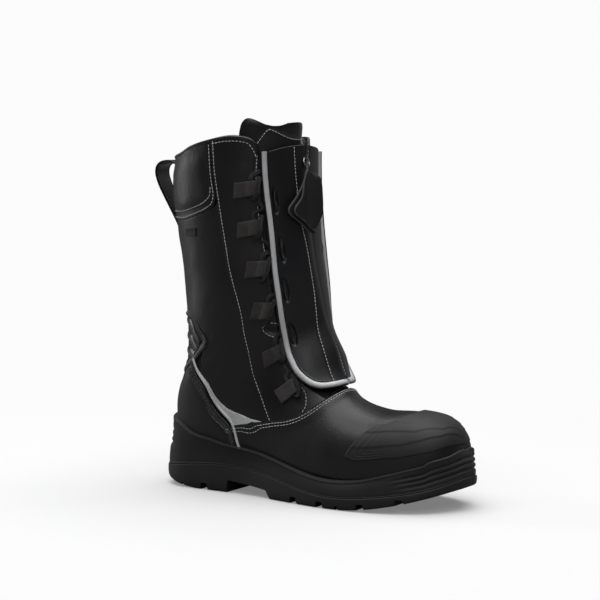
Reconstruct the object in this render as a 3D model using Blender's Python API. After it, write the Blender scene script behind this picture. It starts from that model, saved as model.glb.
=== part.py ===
"""Right-foot firefighting boot: leather upper on a fan loft, lace-in front zip, lugged rubber sole.

Metres, +Z up, +X to the toe, +Y to the inner (medial) side of the foot, heel tread centre at the origin.
Lengths in the tables are millimetres. Run with: blender --background --python part.py
"""
import math

import bmesh
import bpy
import numpy as np
from mathutils import Matrix, Vector

MM = 0.001
GAP = 0.3            # clearance between neighbouring pieces

# Front line of the shaft: an arc seen from the side, so the zip slides along it
ARC_X, ARC_Z, ARC_R = 522.6, 299.0, 429.6
ZIP_TOP = 2.0                        # slider centre with the zip closed, degrees on that arc
TAPE_LOW = -23.6                     # lower end of the zip tapes
FLAP_FOOT = -25.6                    # arc angle of the axis both zip flaps swing about

# Layers, as offsets outward from the leather's outer face
LEATHER = (-2.1, 0.0)
BACKING = (-4.6, -3.0)
BOOTIE = (-7.2, -5.6)


def arc_x(z):
    return ARC_X - math.sqrt(ARC_R ** 2 - (z - ARC_Z) ** 2)


# Stations of the upper from toe tip to collar: top/front point, bottom/back point, half widths outer and
# inner side, sideways shift, height of the widest point as a share, roundness of top and of bottom
STATIONS = np.array([
    (260, 50, 260, 34, 2, 2, 12, .60, 2.2, 2.6),
    (259, 61, 260, 30, 18, 15, 11, .60, 2.3, 3.0),
    (251, 73, 252, 27, 32, 26, 10, .62, 2.4, 3.5),
    (235, 81, 237, 24, 42, 37, 9, .64, 2.4, 4.0),
    (210, 84, 213, 20, 49, 44, 6, .66, 2.4, 4.5),
    (182, 84, 185, 17, 52, 48, 3, .68, 2.3, 5.0),
    (160, 90, 150, 16, 51, 48, 0, .68, 2.1, 5.0),
    (145, 101, 112, 18, 47, 45, -1, .66, 2.0, 4.5),
    (arc_x(116), 116, 65, 22, 44, 43, 0, .62, 2.0, 4.0),
    (arc_x(136), 136, 18, 26, 43, 42, 0, .58, 2.0, 3.4),
    (arc_x(156), 156, -24, 32, 45, 44, 0, .55, 2.0, 2.8),
    (arc_x(178), 178, -36, 72, 49, 48, 0, .52, 2.1, 2.4),
    (arc_x(202), 202, -25, 115, 53, 52, 0, .50, 2.1, 2.2),
    (arc_x(228), 228, -24, 158, 55, 55, 0, .50, 2.1, 2.1),
    (arc_x(256), 256, -27, 200, 56, 56, 0, .50, 2.1, 2.1),
    (arc_x(284), 284, -34, 243, 57, 57, 0, .50, 2.1, 2.1),
    (arc_x(308), 308, -38, 282, 57, 57, 0, .50, 2.1, 2.1),
    (arc_x(330), 330, -37, 316, 56, 56, 0, .50, 2.1, 2.1),
    (arc_x(351), 351, -35, 348, 55, 55, 0, .50, 2.1, 2.1),
], float)
LAST = len(STATIONS) - 1

# Seams on the upper as (u, v): u runs along the stations, v round each one (0 front, 1 back, outer side < 0)
FACING_SEAM = [(17.2, .492), (16.3, .477), (15.3, .460), (14.16, .450), (13.32, .442), (12.41, .422),
               (11.46, .402), (10.59, .388), (9.73, .395), (8.89, .434), (8.4, .462)]
FACING_EDGE = [(16.5, .258), (15.5, .262), (14.44, .260), (13.3, .250), (12.07, .246), (10.71, .248),
               (9.6, .255), (8.6, .25), (7.75, .215), (7.2, .19)]
COLLAR_FRONT = [(17.2, .492), (17.28, .42), (17.25, .37), (17.13, .308), (16.85, .269), (16.5, .258)]
VAMP_SEAM = [(8.4, .462), (7.86, .398), (7.56, .333), (7.38, .26), (7.2, .19)]
REAR_PATCH_FOOT = [(15.3, .460), (15.05, .480), (14.99, .555), (15.02, .66), (15.14, .779), (15.25, 1.0)]
FLEX_TOP = [(11.95, .585), (12.4, .64), (12.85, .70), (13.05, .80), (13.15, 1.0)]
HEEL_SIDE = [(11.72, .655), (11.25, .60), (10.74, .556), (10.2, .532), (9.7, .528), (9.2, .548), (8.6, .60),
             (8.4, .70)]
PANEL_SIDE = [(16.58, .222), (15.16, .214), (13.46, .206), (11.82, .203), (10.3, .213), (9.5, .219),
              (8.9, .212)]
PANEL_FOOT = [(8.9, .212), (8.34, .180), (7.98, .120), (7.78, .060), (7.72, 0.0)]
TOE_GUARD_TOP = [(5.46, .452), (5.40, .42), (5.1, .325), (4.76, .247), (4.16, .17), (3.87, 0.0)]
TOE_GUARD_FOOT = [(5.2, .462), (4.31, .462), (3.4, .457), (2.27, .404), (1.3, .25), (0.8, .056), (.75, 0.0)]
SOLE_TOP = [(10.95, 1.0), (10.74, .845), (10.38, .72), (9.7, .636), (9.07, .622), (8.55, .593), (8.0, .57),
            (7.32, .569), (6.68, .584), (6.03, .588), (5.41, .577), (4.65, .548), (3.67, .52), (2.5, .493),
            (1.43, .417), (0.6, .2), (0.28, 0.0)]
LOOPS = [(15.35, .330, 0), (14.13, .331, 0), (12.87, .325, 0), (11.59, .318, 0), (10.1, .315, 4), (8.72, .338, 22)]

# Sole plan (outer side, then inner side), both from the back of the heel to the toe
PLAN_OUT = [(-50, 2), (-44, -22), (-25, -37), (10, -40), (60, -42), (110, -52), (155, -58), (200, -54),
            (242, -35), (265, -6), (269, 13)]
PLAN_IN = [(-50, 2), (-45, 22), (-26, 37), (10, 39), (60, 38), (100, 44), (150, 53), (190, 56), (232, 50),
           (259, 34), (269, 13)]
PARTING = [(-50, 18), (-25, 21), (5, 24.5), (32, 26), (55, 25), (80, 22.5), (103, 18.5), (127, 13.5),
           (150, 11), (170, 11), (195, 13), (224, 17), (245, 21.5), (260, 27), (269, 31)]

made = {}                            # every object by name


def clear_scene():
    for obj in list(bpy.data.objects):
        bpy.data.objects.remove(obj, do_unlink=True)


def collection(name, hidden=False):
    found = bpy.data.collections.new(name)
    bpy.context.scene.collection.children.link(found)
    found.hide_render = hidden
    return found


def material(name, colour, roughness, metallic=0.0):
    made_of = bpy.data.materials.new(name)
    made_of.use_nodes = True
    shader = made_of.node_tree.nodes["Principled BSDF"]
    shader.inputs["Base Color"].default_value = (*colour, 1)
    shader.inputs["Roughness"].default_value = roughness
    shader.inputs["Metallic"].default_value = metallic
    made_of.diffuse_color = (*colour, 1)
    return made_of


# ---------------------------------------------------------------- the upper's surface
def catmull(points, t):
    """Points on a smooth line through points at parameters t, counted in points."""
    points = np.asarray(points, float)
    t = np.clip(np.asarray(t, float), 0, len(points) - 1)
    i = np.minimum(t.astype(int), len(points) - 2)
    f = (t - i)[:, None]
    ends = np.vstack([2 * points[0] - points[1], points, 2 * points[-1] - points[-2]])
    a, b, c, d = ends[i], ends[i + 1], ends[i + 2], ends[i + 3]
    return 0.5 * (2 * b + (c - a) * f + (2 * a - 5 * b + 4 * c - d) * f ** 2 + (3 * b - a - 3 * c + d) * f ** 3)


def bare(u, v):
    v = (v + 1) % 2 - 1
    tx, tz, bx, bz, out, inn, shift, wide, top_n, low_n = catmull(STATIONS, u).T
    angle = np.abs(v) * math.pi
    cos, sin = np.cos(angle), np.abs(np.sin(angle))
    above = angle <= math.pi / 2
    n = np.where(above, top_n, low_n)
    a, b = np.abs(cos) ** (2 / n), sin ** (2 / n)
    share = np.where(above, wide * (1 - a), wide + (1 - wide) * a)
    y = shift + np.where(v < 0, -out, inn) * b
    return np.stack([tx + (bx - tx) * share, y, tz + (bz - tz) * share], 1)


def on_upper(u, v, lift=0.0):
    """Points in mm on the upper at (u, v), lifted outward by lift mm."""
    u, v, lift = (np.ravel(x).astype(float) for x in np.broadcast_arrays(u, v, lift))
    off = np.where(np.abs(np.abs((v + 1) % 2 - 1) - .5) < .003, .004, 0)
    e = 2e-3
    du = bare(np.clip(u + e, 0, LAST), v) - bare(np.clip(u - e, 0, LAST), v)
    dv = bare(u, v + off + e) - bare(u, v + off - e)
    normal = np.cross(dv, du)
    normal /= np.maximum(np.linalg.norm(normal, axis=1, keepdims=True), 1e-9)
    return bare(u, v) + normal * lift[:, None]


def line(points, count, smooth=True):
    """count points evenly along a line through points, in (u, v)."""
    points = np.asarray(points, float)
    fine = catmull(points, np.linspace(0, len(points) - 1, 16 * len(points))) if smooth else points
    run = np.concatenate([[0], np.cumsum(np.hypot(*(np.diff(fine, axis=0) * (25, 190)).T))])
    at = np.linspace(0, run[-1], count)
    return np.stack([np.interp(at, run, fine[:, k]) for k in (0, 1)], 1)


def flip(points):
    return [(u, -v) for u, v in points]


def around(points):
    """A line given on one side, carried on over the back to the other side."""
    return points + [(u, 2 - v) for u, v in points[::-1][1:]]


def coons(low, high, left, right, nu, nv, inset=0.25, smooth=True):
    """Grid of (u, v): low and high run in the first index, left and right join their ends."""
    a, b = line(low, nu, smooth), line(high, nu, smooth)
    c, d = line(left, nv), line(right, nv)
    c[0], c[-1], d[0], d[-1] = a[0], b[0], a[-1], b[-1]
    span = lambda p, q: np.hypot(*((p - q) * (25, 190)))
    es = inset / max(4, min(span(a[0], a[-1]), span(b[0], b[-1])) or 4)
    et = inset / max(4, span(a[nu // 2], b[nu // 2]))
    es, et = min(es, .06), min(et, .06)
    s, t = np.linspace(es, 1 - es, nu), np.linspace(et, 1 - et, nv)
    pick = lambda rows, at: np.stack([np.interp(at, np.linspace(0, 1, len(rows)), rows[:, k]) for k in (0, 1)], 1)
    a, b, c, d = pick(a, s), pick(b, s), pick(c, t), pick(d, t)
    S, T = s[:, None, None], t[None, :, None]
    p00, p10 = line(low, 2)[0], line(low, 2)[1]
    p01, p11 = line(high, 2)[0], line(high, 2)[1]
    return ((1 - T) * a[:, None] + T * b[:, None] + (1 - S) * c[None] + S * d[None]
            - ((1 - S) * (1 - T) * p00 + S * (1 - T) * p10 + (1 - S) * T * p01 + S * T * p11))


def add_mesh(name, points, faces, mat, where=None):
    mesh = bpy.data.meshes.new(name)
    mesh.from_pydata([tuple(p) for p in np.asarray(points) * MM], [], [tuple(map(int, f)) for f in faces])
    work = bmesh.new()
    work.from_mesh(mesh)
    bmesh.ops.recalc_face_normals(work, faces=work.faces)
    if work.calc_volume(signed=True) < 0:
        bmesh.ops.reverse_faces(work, faces=work.faces)
    work.to_mesh(mesh)
    work.free()
    mesh.materials.append(mat)
    obj = bpy.data.objects.new(name, mesh)
    (where or PARTS).objects.link(obj)
    made[name] = obj
    return obj


def shell(name, outer, inner, mat, where=None):
    """Closed solid between two grids of points of the same size."""
    nu, nv = outer.shape[:2]
    index = lambda i, j, k: k * nu * nv + i * nv + j
    faces = []
    for i in range(nu - 1):
        for j in range(nv - 1):
            faces.append([index(i, j, 0), index(i + 1, j, 0), index(i + 1, j + 1, 0), index(i, j + 1, 0)])
            faces.append([index(i, j + 1, 1), index(i + 1, j + 1, 1), index(i + 1, j, 1), index(i, j, 1)])
    for i in range(nu - 1):
        for j in (0, nv - 1):
            faces.append([index(i, j, 0), index(i, j, 1), index(i + 1, j, 1), index(i + 1, j, 0)])
    for j in range(nv - 1):
        for i in (0, nu - 1):
            faces.append([index(i, j, 0), index(i, j + 1, 0), index(i, j + 1, 1), index(i, j, 1)])
    return add_mesh(name, np.vstack([outer.reshape(-1, 3), inner.reshape(-1, 3)]), faces, mat, where)


def patch(name, grid, low, high, mat, where=None):
    """A piece of sheet over a grid of (u, v), from lift low to lift high (numbers, or arrays like the grid)."""
    u, v = grid[..., 0], grid[..., 1]
    outer = on_upper(u, v, high).reshape(u.shape + (3,))
    inner = on_upper(u, v, low).reshape(u.shape + (3,))
    return shell(name, outer, inner, mat, where)


def ruled(first, second, nu, nv):
    a, b = line(first, nu), line(second, nu)
    t = np.linspace(0, 1, nv)[None, :, None]
    return a[:, None] * (1 - t) + b[:, None] * t


def tube(name, path, radius, mat, sides=6, flat=1.0, where=None):
    """A rod along points in mm; flat squeezes it along the second direction."""
    path = np.asarray(path, float)
    along = np.gradient(path, axis=0)
    along /= np.linalg.norm(along, axis=1, keepdims=True)
    out = path - np.array([45, 0, 0]) * [1, 0, 0]
    side = np.cross(along, out * [1, 1, 0])
    side /= np.linalg.norm(side, axis=1, keepdims=True)
    up = np.cross(side, along)
    rings = []
    for k in range(sides):
        a = 2 * math.pi * (k + .5) / sides
        rings.append(path + side * math.cos(a) * radius + up * math.sin(a) * radius * flat)
    points = np.stack(rings, 1)
    n = len(path)
    faces = [[i * sides + k, (i + 1) * sides + k, (i + 1) * sides + (k + 1) % sides, i * sides + (k + 1) % sides]
             for i in range(n - 1) for k in range(sides)]
    faces += [list(range(sides)), [(n - 1) * sides + k for k in range(sides)]]
    return add_mesh(name, points.reshape(-1, 3), faces, mat, where)


def cut(obj, *cutters, operation="DIFFERENCE"):
    for cutter in cutters:
        step = obj.modifiers.new(cutter.name, "BOOLEAN")
        step.operation, step.solver, step.object = operation, "EXACT", cutter
    return obj


def box(name, low, high, where):
    x0, y0, z0 = low
    x1, y1, z1 = high
    points = [(x, y, z) for x in (x0, x1) for y in (y0, y1) for z in (z0, z1)]
    faces = [(0, 1, 3, 2), (4, 6, 7, 5), (0, 4, 5, 1), (2, 3, 7, 6), (0, 2, 6, 4), (1, 5, 7, 3)]
    obj = add_mesh(name, points, faces, RUBBER, where)
    obj.display_type = "WIRE"
    return obj


# ---------------------------------------------------------------- pieces of the upper
def both_sides(name, build):
    build(name + "_lateral", -1)
    build(name + "_medial", 1)


def side(points, sign):
    return [(u, sign * v) for u, v in points]


def make_facing(name, sign):
    grid = coons(side(FACING_SEAM, sign), side(FACING_EDGE, sign), side(COLLAR_FRONT, sign),
                 side(VAMP_SEAM, sign), 17, 5)
    patch(name, grid, *LEATHER, LEATHER_MAT)


def make_quarter(name, sign):
    low = FACING_SEAM[2:]
    back = [(15.25, 1.0), (13.15, 1.0)] + FLEX_TOP[::-1][1:] + HEEL_SIDE[1:5] + [(9.35, .532)]
    grid = coons(side(low, sign), side(back, sign), side(REAR_PATCH_FOOT, sign),
                 side([(8.4, .462), (8.7, .502), (9.05, .532), (9.35, .532)], sign), 21, 8, .4, False)
    patch(name, grid, *LEATHER, LEATHER_MAT)


def make_vamp():
    edge = [(0, 7.02), (.10, 7.06), (.176, 7.17), (.26, 7.36), (.333, 7.54), (.398, 7.84), (.466, 8.36),
            (.502, 8.58), (.53, 8.9), (.545, 8.98), (.58, 8.66), (.60, 8.4), (.70, 8.25), (.80, 8.1)]
    v = np.array([-e[0] for e in edge[::-1]] + [e[0] for e in edge[1:]])
    far = np.array([e[1] for e in edge[::-1]] + [e[1] for e in edge[1:]])
    rows = np.array([.12, .5, .9, 1.4, 1.9, 2.4, 3.1, 4, 5, 6, 7.02])
    share = (rows - .12) / (7.02 - .12)
    u = .12 + (far[None] - GAP / 25 - .12) * share[:, None]
    grid = np.stack([u, np.broadcast_to(v, u.shape)], -1)
    high = np.zeros(u.shape)
    low = high - np.clip(u * 6, .3, 2.1)
    patch("vamp", grid, low, high, LEATHER_MAT)


def tab_point(centre, forward, up):
    """(u, v) of a point on a lace loop, from mm forward of its centre and mm up along it."""
    u0, v0, turn = centre
    per_u = np.linalg.norm(on_upper(u0 + .05, v0) - on_upper(u0 - .05, v0)) / .1
    per_v = np.linalg.norm(on_upper(u0, v0 + .005) - on_upper(u0, v0 - .005)) / .01
    c, s = math.cos(math.radians(turn)), math.sin(math.radians(turn))
    return u0 + (up * c - forward * s) / per_u, v0 - (forward * c + up * s) / per_v


def make_loop(name, centre, sign):
    """A folded webbing tab sewn to the facing, with an open eye at its front end for the lace."""
    profile = [(-12, .5), (-12, 1.9), (-5, 1.9), (2, 2.3), (5, 4.0), (12, 4.2), (13.4, 3.0), (13.4, .9), (12.5, .5),
               (7.5, .5), (2, .5), (-5, .5)]
    hole = [(4.6, 1.4), (4.6, 1.5), (4.7, 1.6), (4.8, 1.8), (6.2, 3.0), (11.4, 3.1), (12.2, 2.6), (12.2, 1.6),
            (11.6, 1.3), (8, 1.3), (5, 1.3), (4.7, 1.35)]
    rings = []
    for half in (-8, 8):
        for shape in (profile, hole):
            forward, lift = np.array(shape, float).T
            u, v = tab_point(centre, forward, half)
            rings.append(on_upper(u, sign * v, lift))
    n = len(profile)
    faces = []
    for k in range(n):
        m = (k + 1) % n
        faces.append([k, m, 2 * n + m, 2 * n + k])
        faces.append([n + k, 3 * n + k, 3 * n + m, n + m])
        faces.append([k, n + k, n + m, m])
        faces.append([2 * n + k, 2 * n + m, 3 * n + m, 3 * n + k])
    add_mesh(name, np.vstack(rings), faces, WEBBING)


def make_lace(name, sign):
    """A round lace down the facing: through the six eyes, out to the panel edge between them."""
    path = []
    for k, centre in enumerate(LOOPS):
        path += [(*tab_point(centre, 8.6, 9.5), 2.15), (*tab_point(centre, 8.6, 0), 2.25),
                 (*tab_point(centre, 8.6, -9.5), 2.15)]
        if k < 5:
            (u1, v1, _), (u2, v2, _) = LOOPS[k:k + 2]
            path.append(((u1 + u2) / 2, (v1 + v2) / 2 - 12.4 / 190, 1.6))
    path = [(path[0][0] + .35, .287, 1.6)] + path + [(path[-1][0] - .12, path[-1][1] - .01, 1.6)]
    path = np.array(path)
    points = on_upper(path[:, 0], sign * path[:, 1], path[:, 2])
    tube(name, points, 0.65, LACE, 6)


def stand_off(u, v):
    """How far the inner half of the zip insert stands away from the shaft, in mm."""
    rise = np.clip((np.abs(v) - .02) / .16, 0, 1) * np.clip((u - 7.8) / 1.2, 0, 1)
    return 6.0 * rise * rise * (3 - 2 * rise)


def make_panel(name, sign):
    """One half of the zip insert, domed a little over the zip."""
    slit = 1.2 / 170
    centre = [(16.80, slit), (14, slit), (11, slit), (9, slit), (7.72, slit)]
    foot = PANEL_FOOT[:-1] + [(7.72, slit)]
    grid = coons(side(PANEL_SIDE, sign), side(centre, sign),
                 side([(16.58, .222), (16.72, .12), (16.80, slit)], sign), side(foot, sign), 18, 7)
    dome = 1.6 * np.clip(1 - np.abs(grid[..., 1]) / .11, 0, 1) ** .7
    if sign > 0:                     # the inner half stands off the shaft towards its edge
        dome = dome + stand_off(grid[..., 0], grid[..., 1])
    patch(name, grid, GAP + dome, 2.5 + dome, LEATHER_MAT)


def make_piping(name, sign):
    """Reflective piping round the edge of a zip panel half."""
    edge = [(16.6, .232), (15.16, .224), (13.46, .216), (11.82, .213), (10.3, .223), (9.5, .229), (8.9, .224),
            (8.22, .189), (7.86, .124), (7.66, .062), (7.6, .006)]
    run = line(side(edge, sign), 26)
    before = np.gradient(run, axis=0) * (25, 190)
    out = np.stack([-before[:, 1], before[:, 0]], 1)
    out /= np.linalg.norm(out, axis=1, keepdims=True) * -sign
    out = out / (25, 190)
    inner, outer = run - out * .9, run + out * 1.6
    grid = np.stack([inner, outer], 1)
    off = stand_off(grid[..., 0], grid[..., 1]) if sign > 0 else 0
    patch(name, grid, GAP + off, np.broadcast_to([3.2, 2.6], grid.shape[:2]) + off, REFLECTIVE)


def front(angle, y, lift):
    """Points by the front line at an arc angle in degrees, y mm to the side, following the shaft's roundness."""
    angle, y, lift = (np.asarray(x, float) for x in np.broadcast_arrays(angle, y, lift))
    r = ARC_R - (lift - y ** 2 / 60)
    a = np.radians(angle)
    return np.stack([ARC_X - r * np.cos(a), y, ARC_Z + r * np.sin(a)], -1)


def sweep_front(name, profile, top, low, steps, mat, where=None):
    """A bar of one section, (y, lift) points, along the front line."""
    y, lift = np.array(profile, float).T
    rings = [front(a, y, lift) for a in np.linspace(top, low, steps)]
    n = len(profile)
    faces = [[i * n + k, (i + 1) * n + k, (i + 1) * n + (k + 1) % n, i * n + (k + 1) % n]
             for i in range(steps - 1) for k in range(n)]
    faces += [list(range(n)), [(steps - 1) * n + k for k in range(n)]]
    return add_mesh(name, np.vstack(rings), faces, mat, where)


def make_tape(name, sign):
    """Zip tape with its coil along the inner edge."""
    profile = [(.75, -1.1), (.75, .6), (3.0, .6), (3.3, 0), (10, -.2), (10, -.9), (3.3, -.7), (3.0, -1.1)]
    sweep_front(name, [(sign * y, lift) for y, lift in profile], ZIP_TOP + .8, TAPE_LOW, 22, ZIP_MAT)


def make_slider():
    """Two plates joined by a post between the coils, and a bail that stands out through the slit."""
    half = math.degrees(6 / ARC_R)
    a, b = ZIP_TOP + half, ZIP_TOP - half
    slider = sweep_front("zip_slider", [(-4.6, -2.0), (4.6, -2.0), (4.6, -1.4), (.4, -1.4), (.4, .9), (4.6, .9),
                                        (4.6, 1.5), (.7, 1.5), (.7, 7.2), (-.7, 7.2), (-.7, 1.5), (-4.6, 1.5),
                                        (-4.6, .9), (-.4, .9), (-.4, -1.4), (-4.6, -1.4)], a, b, 2, BRASS)
    trims = []
    for name, top, low in (("bail_trim_top", a + .5, ZIP_TOP + math.degrees(2.6 / ARC_R)),
                           ("bail_trim_low", ZIP_TOP - math.degrees(2.6 / ARC_R), b - .5)):
        trims.append(sweep_front(name, [(-3, 1.6), (3, 1.6), (3, 9), (-3, 9)], top, low, 2, BRASS, CUTTERS))
    hole = front(ZIP_TOP, 0, 5.6)
    bpy.ops.mesh.primitive_cylinder_add(vertices=12, radius=1.1 * MM, depth=.01, location=hole * MM,
                                        rotation=(math.pi / 2, 0, 0))
    bore = bpy.context.object
    bore.name = "bail_hole"
    for old in list(bore.users_collection):
        old.objects.unlink(bore)
    CUTTERS.objects.link(bore)
    bore.display_type = "WIRE"
    for trim in trims:
        trim.display_type = "WIRE"
    cut(slider, *trims, bore)


def make_pull():
    """A wire ring through the bail, and a folded leather tab looped on the ring."""
    eye = front(ZIP_TOP, 0, 5.6)
    major, minor = 4.6, .65
    centre = eye + np.array([math.sin(math.radians(14)), 0, -math.cos(math.radians(14))]) * major
    down = (eye - centre) / major
    rings, n, m = [], 20, 6
    for k in range(n):
        a = 2 * math.pi * k / n
        spoke = down * math.cos(a) + np.array([0, 1, 0]) * math.sin(a)
        normal = np.cross(down, [0, 1, 0])
        rings += [centre + spoke * (major + minor * math.cos(b)) + normal * minor * math.sin(b)
                  for b in np.linspace(0, 2 * math.pi, m, endpoint=False)]
    faces = [[k * m + j, ((k + 1) % n) * m + j, ((k + 1) % n) * m + (j + 1) % m, k * m + (j + 1) % m]
             for k in range(n) for j in range(m)]
    add_mesh("pull_ring", rings, faces, BRASS)
    # side view of the folded tab about the ring's lowest point: (forward, down, half width, middle y)
    low = centre - down * major
    fold = [(-1.9, 7, 2.3, 0), (-2.2, 2, 2.3, 0), (-1.6, -2.3, 2.3, 0), (1.6, -2.5, 2.3, 0), (2.4, 2, 2.6, 0),
            (3.2, 9, 5.5, 1), (4.0, 20, 8.5, 1.5), (4.6, 34, 9.5, 0), (4.4, 44, 9.0, -4), (3.6, 50, 7.5, -7)]
    thick = 1.0
    mid = np.array([(f, -d) for f, d, _, _ in fold], float)
    along = np.gradient(mid, axis=0)
    along /= np.linalg.norm(along, axis=1, keepdims=True)
    out = np.stack([along[:, 1], -along[:, 0]], 1)
    rows = []
    for k, (_, _, half, y) in enumerate(fold):
        for s in (-1, 1):
            for t in (-1, 1):
                p = mid[k] + out[k] * thick * s
                rows.append(low + [p[0], y + half * t, p[1]])
    n = len(fold)
    ring = [0, 1, 3, 2]
    faces = [[4 * i + ring[k], 4 * i + 4 + ring[k], 4 * i + 4 + ring[(k + 1) % 4], 4 * i + ring[(k + 1) % 4]]
             for i in range(n - 1) for k in range(4)]
    faces += [[0, 1, 3, 2], [4 * n - 4 + k for k in (0, 2, 3, 1)]]
    add_mesh("pull_tab", rows, faces, LEATHER_MAT)


def make_bootie():
    """Waterproof lining: a closed sock with its mouth at the collar."""
    rows = np.array([1.4, 1.9, 2.5, 3.3, 4.5, 6, 7, 8, 9, 9.6, 10.1, 10.5, 11, 12, 13.5, 15, 16.75])
    v = np.linspace(-1, 1, 19)[:-1]
    u = np.broadcast_to(rows[:, None], (len(rows), len(v)))
    vs = np.broadcast_to(v, u.shape)
    outer = on_upper(u, vs, BOOTIE[1]).reshape(u.shape + (3,))
    inner = on_upper(u, vs, BOOTIE[0]).reshape(u.shape + (3,))
    nu, nv = u.shape
    points = np.vstack([outer.reshape(-1, 3), inner.reshape(-1, 3), outer[0].mean(0)[None] + [1.5, 0, 0],
                        inner[0].mean(0)[None] + [0.2, 0, 0]])
    index = lambda i, j, k: k * nu * nv + i * nv + j % nv
    faces = []
    for i in range(nu - 1):
        for j in range(nv):
            faces.append([index(i, j, 0), index(i + 1, j, 0), index(i + 1, j + 1, 0), index(i, j + 1, 0)])
            faces.append([index(i, j + 1, 1), index(i + 1, j + 1, 1), index(i + 1, j, 1), index(i, j, 1)])
    for j in range(nv):
        faces.append([index(nu - 1, j, 0), index(nu - 1, j, 1), index(nu - 1, j + 1, 1), index(nu - 1, j + 1, 0)])
        faces.append([index(0, j, 0), index(0, j + 1, 0), 2 * nu * nv])
        faces.append([index(0, j, 1), 2 * nu * nv + 1, index(0, j + 1, 1)])
    add_mesh("lining_bootie", points, faces, LINING)


def make_pull_loop():
    """Rear pull strap, sewn to the collar above and to the seam below, standing off like a D."""
    path = [(-40.4, 303), (-45, 309), (-56, 310), (-63.5, 307), (-65.5, 300), (-62, 289), (-53, 273), (-42.5, 255),
            (-37.2, 243)]
    mid = catmull(path, np.linspace(0, len(path) - 1, 17))
    along = np.gradient(mid, axis=0)
    along /= np.linalg.norm(along, axis=1, keepdims=True)
    out = np.stack([along[:, 1], -along[:, 0]], 1)
    rows = []
    for p, o in zip(mid, out):
        for s in (-1, 1):
            for t in (-1, 1):
                q = p + o * 1.0 * s
                rows.append([q[0], 11 * t, q[1]])
    n, ring = len(mid), [0, 1, 3, 2]
    faces = [[4 * i + ring[k], 4 * i + 4 + ring[k], 4 * i + 4 + ring[(k + 1) % 4], 4 * i + ring[(k + 1) % 4]]
             for i in range(n - 1) for k in range(4)]
    faces += [[0, 1, 3, 2], [4 * n - 4 + k for k in (0, 2, 3, 1)]]
    return add_mesh("pull_loop", rows, faces, LEATHER_MAT)


# ---------------------------------------------------------------- sole
def even(points, count):
    """count points spaced evenly in plan along a row of points."""
    run = np.concatenate([[0], np.cumsum(np.hypot(*np.diff(points[:, :2], axis=0).T))])
    at = np.linspace(0, run[-1], count)
    return np.stack([np.interp(at, run, column) for column in points.T], 1)


def plan(count):
    out = even(catmull(PLAN_OUT, np.linspace(0, len(PLAN_OUT) - 1, 200)), count)
    inn = even(catmull(PLAN_IN, np.linspace(0, len(PLAN_IN) - 1, 200)), count)
    inn[0], inn[-1] = out[0], out[-1]
    return out, inn


def ring_at(count, inset, height):
    """One loop of the sole: the outer side from heel to toe, then back along the inner side."""
    out, inn = plan(count)
    loop = np.vstack([out, inn[-2:0:-1]])
    tangent = np.roll(loop, -1, 0) - np.roll(loop, 1, 0)
    normal = np.stack([tangent[:, 1], -tangent[:, 0]], 1)
    normal /= np.linalg.norm(normal, axis=1, keepdims=True)
    loop = loop - normal * inset
    z = height(loop[:, 0]) if callable(height) else np.full(len(loop), float(height))
    return np.column_stack([loop, z])


def ground(x):
    """Height of the tread: flat heel and ball, sprung up to the toe."""
    x = np.asarray(x, float)
    return 20 * (np.clip(x - 165, 0, None) / 100) ** 1.7 + 7.0 * np.clip((-24 - x) / 26, 0, 1) ** 1.3


def parting(x):
    table = np.array(PARTING, float)
    return np.interp(x, table[:, 0], table[:, 1])


def inside(x):
    """Height where midsole and outsole meet under the foot."""
    table = np.array([(-50, 14), (30, 14), (65, 13), (112, 9.5), (150, 8), (185, 9.5), (213, 13.5), (237, 18),
                      (255, 22), (266, 25)], float)
    return np.interp(x, table[:, 0], table[:, 1])


def stack(name, rings, mat, where=None):
    """A solid of loops of equal length, closed below and above by strips across."""
    n = len(rings[0])
    half = n // 2 + 1
    faces = [[i * n + k, i * n + (k + 1) % n, (i + 1) * n + (k + 1) % n, (i + 1) * n + k]
             for i in range(len(rings) - 1) for k in range(n)]
    for base in (0, (len(rings) - 1) * n):
        faces.append([base, base + 1, base + n - 1])
        for k in range(1, half - 2):
            faces.append([base + k, base + k + 1, base + n - k - 1, base + n - k])
        faces.append([base + half - 2, base + half - 1, base + half])
    return add_mesh(name, np.vstack(rings), faces, mat, where)


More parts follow.
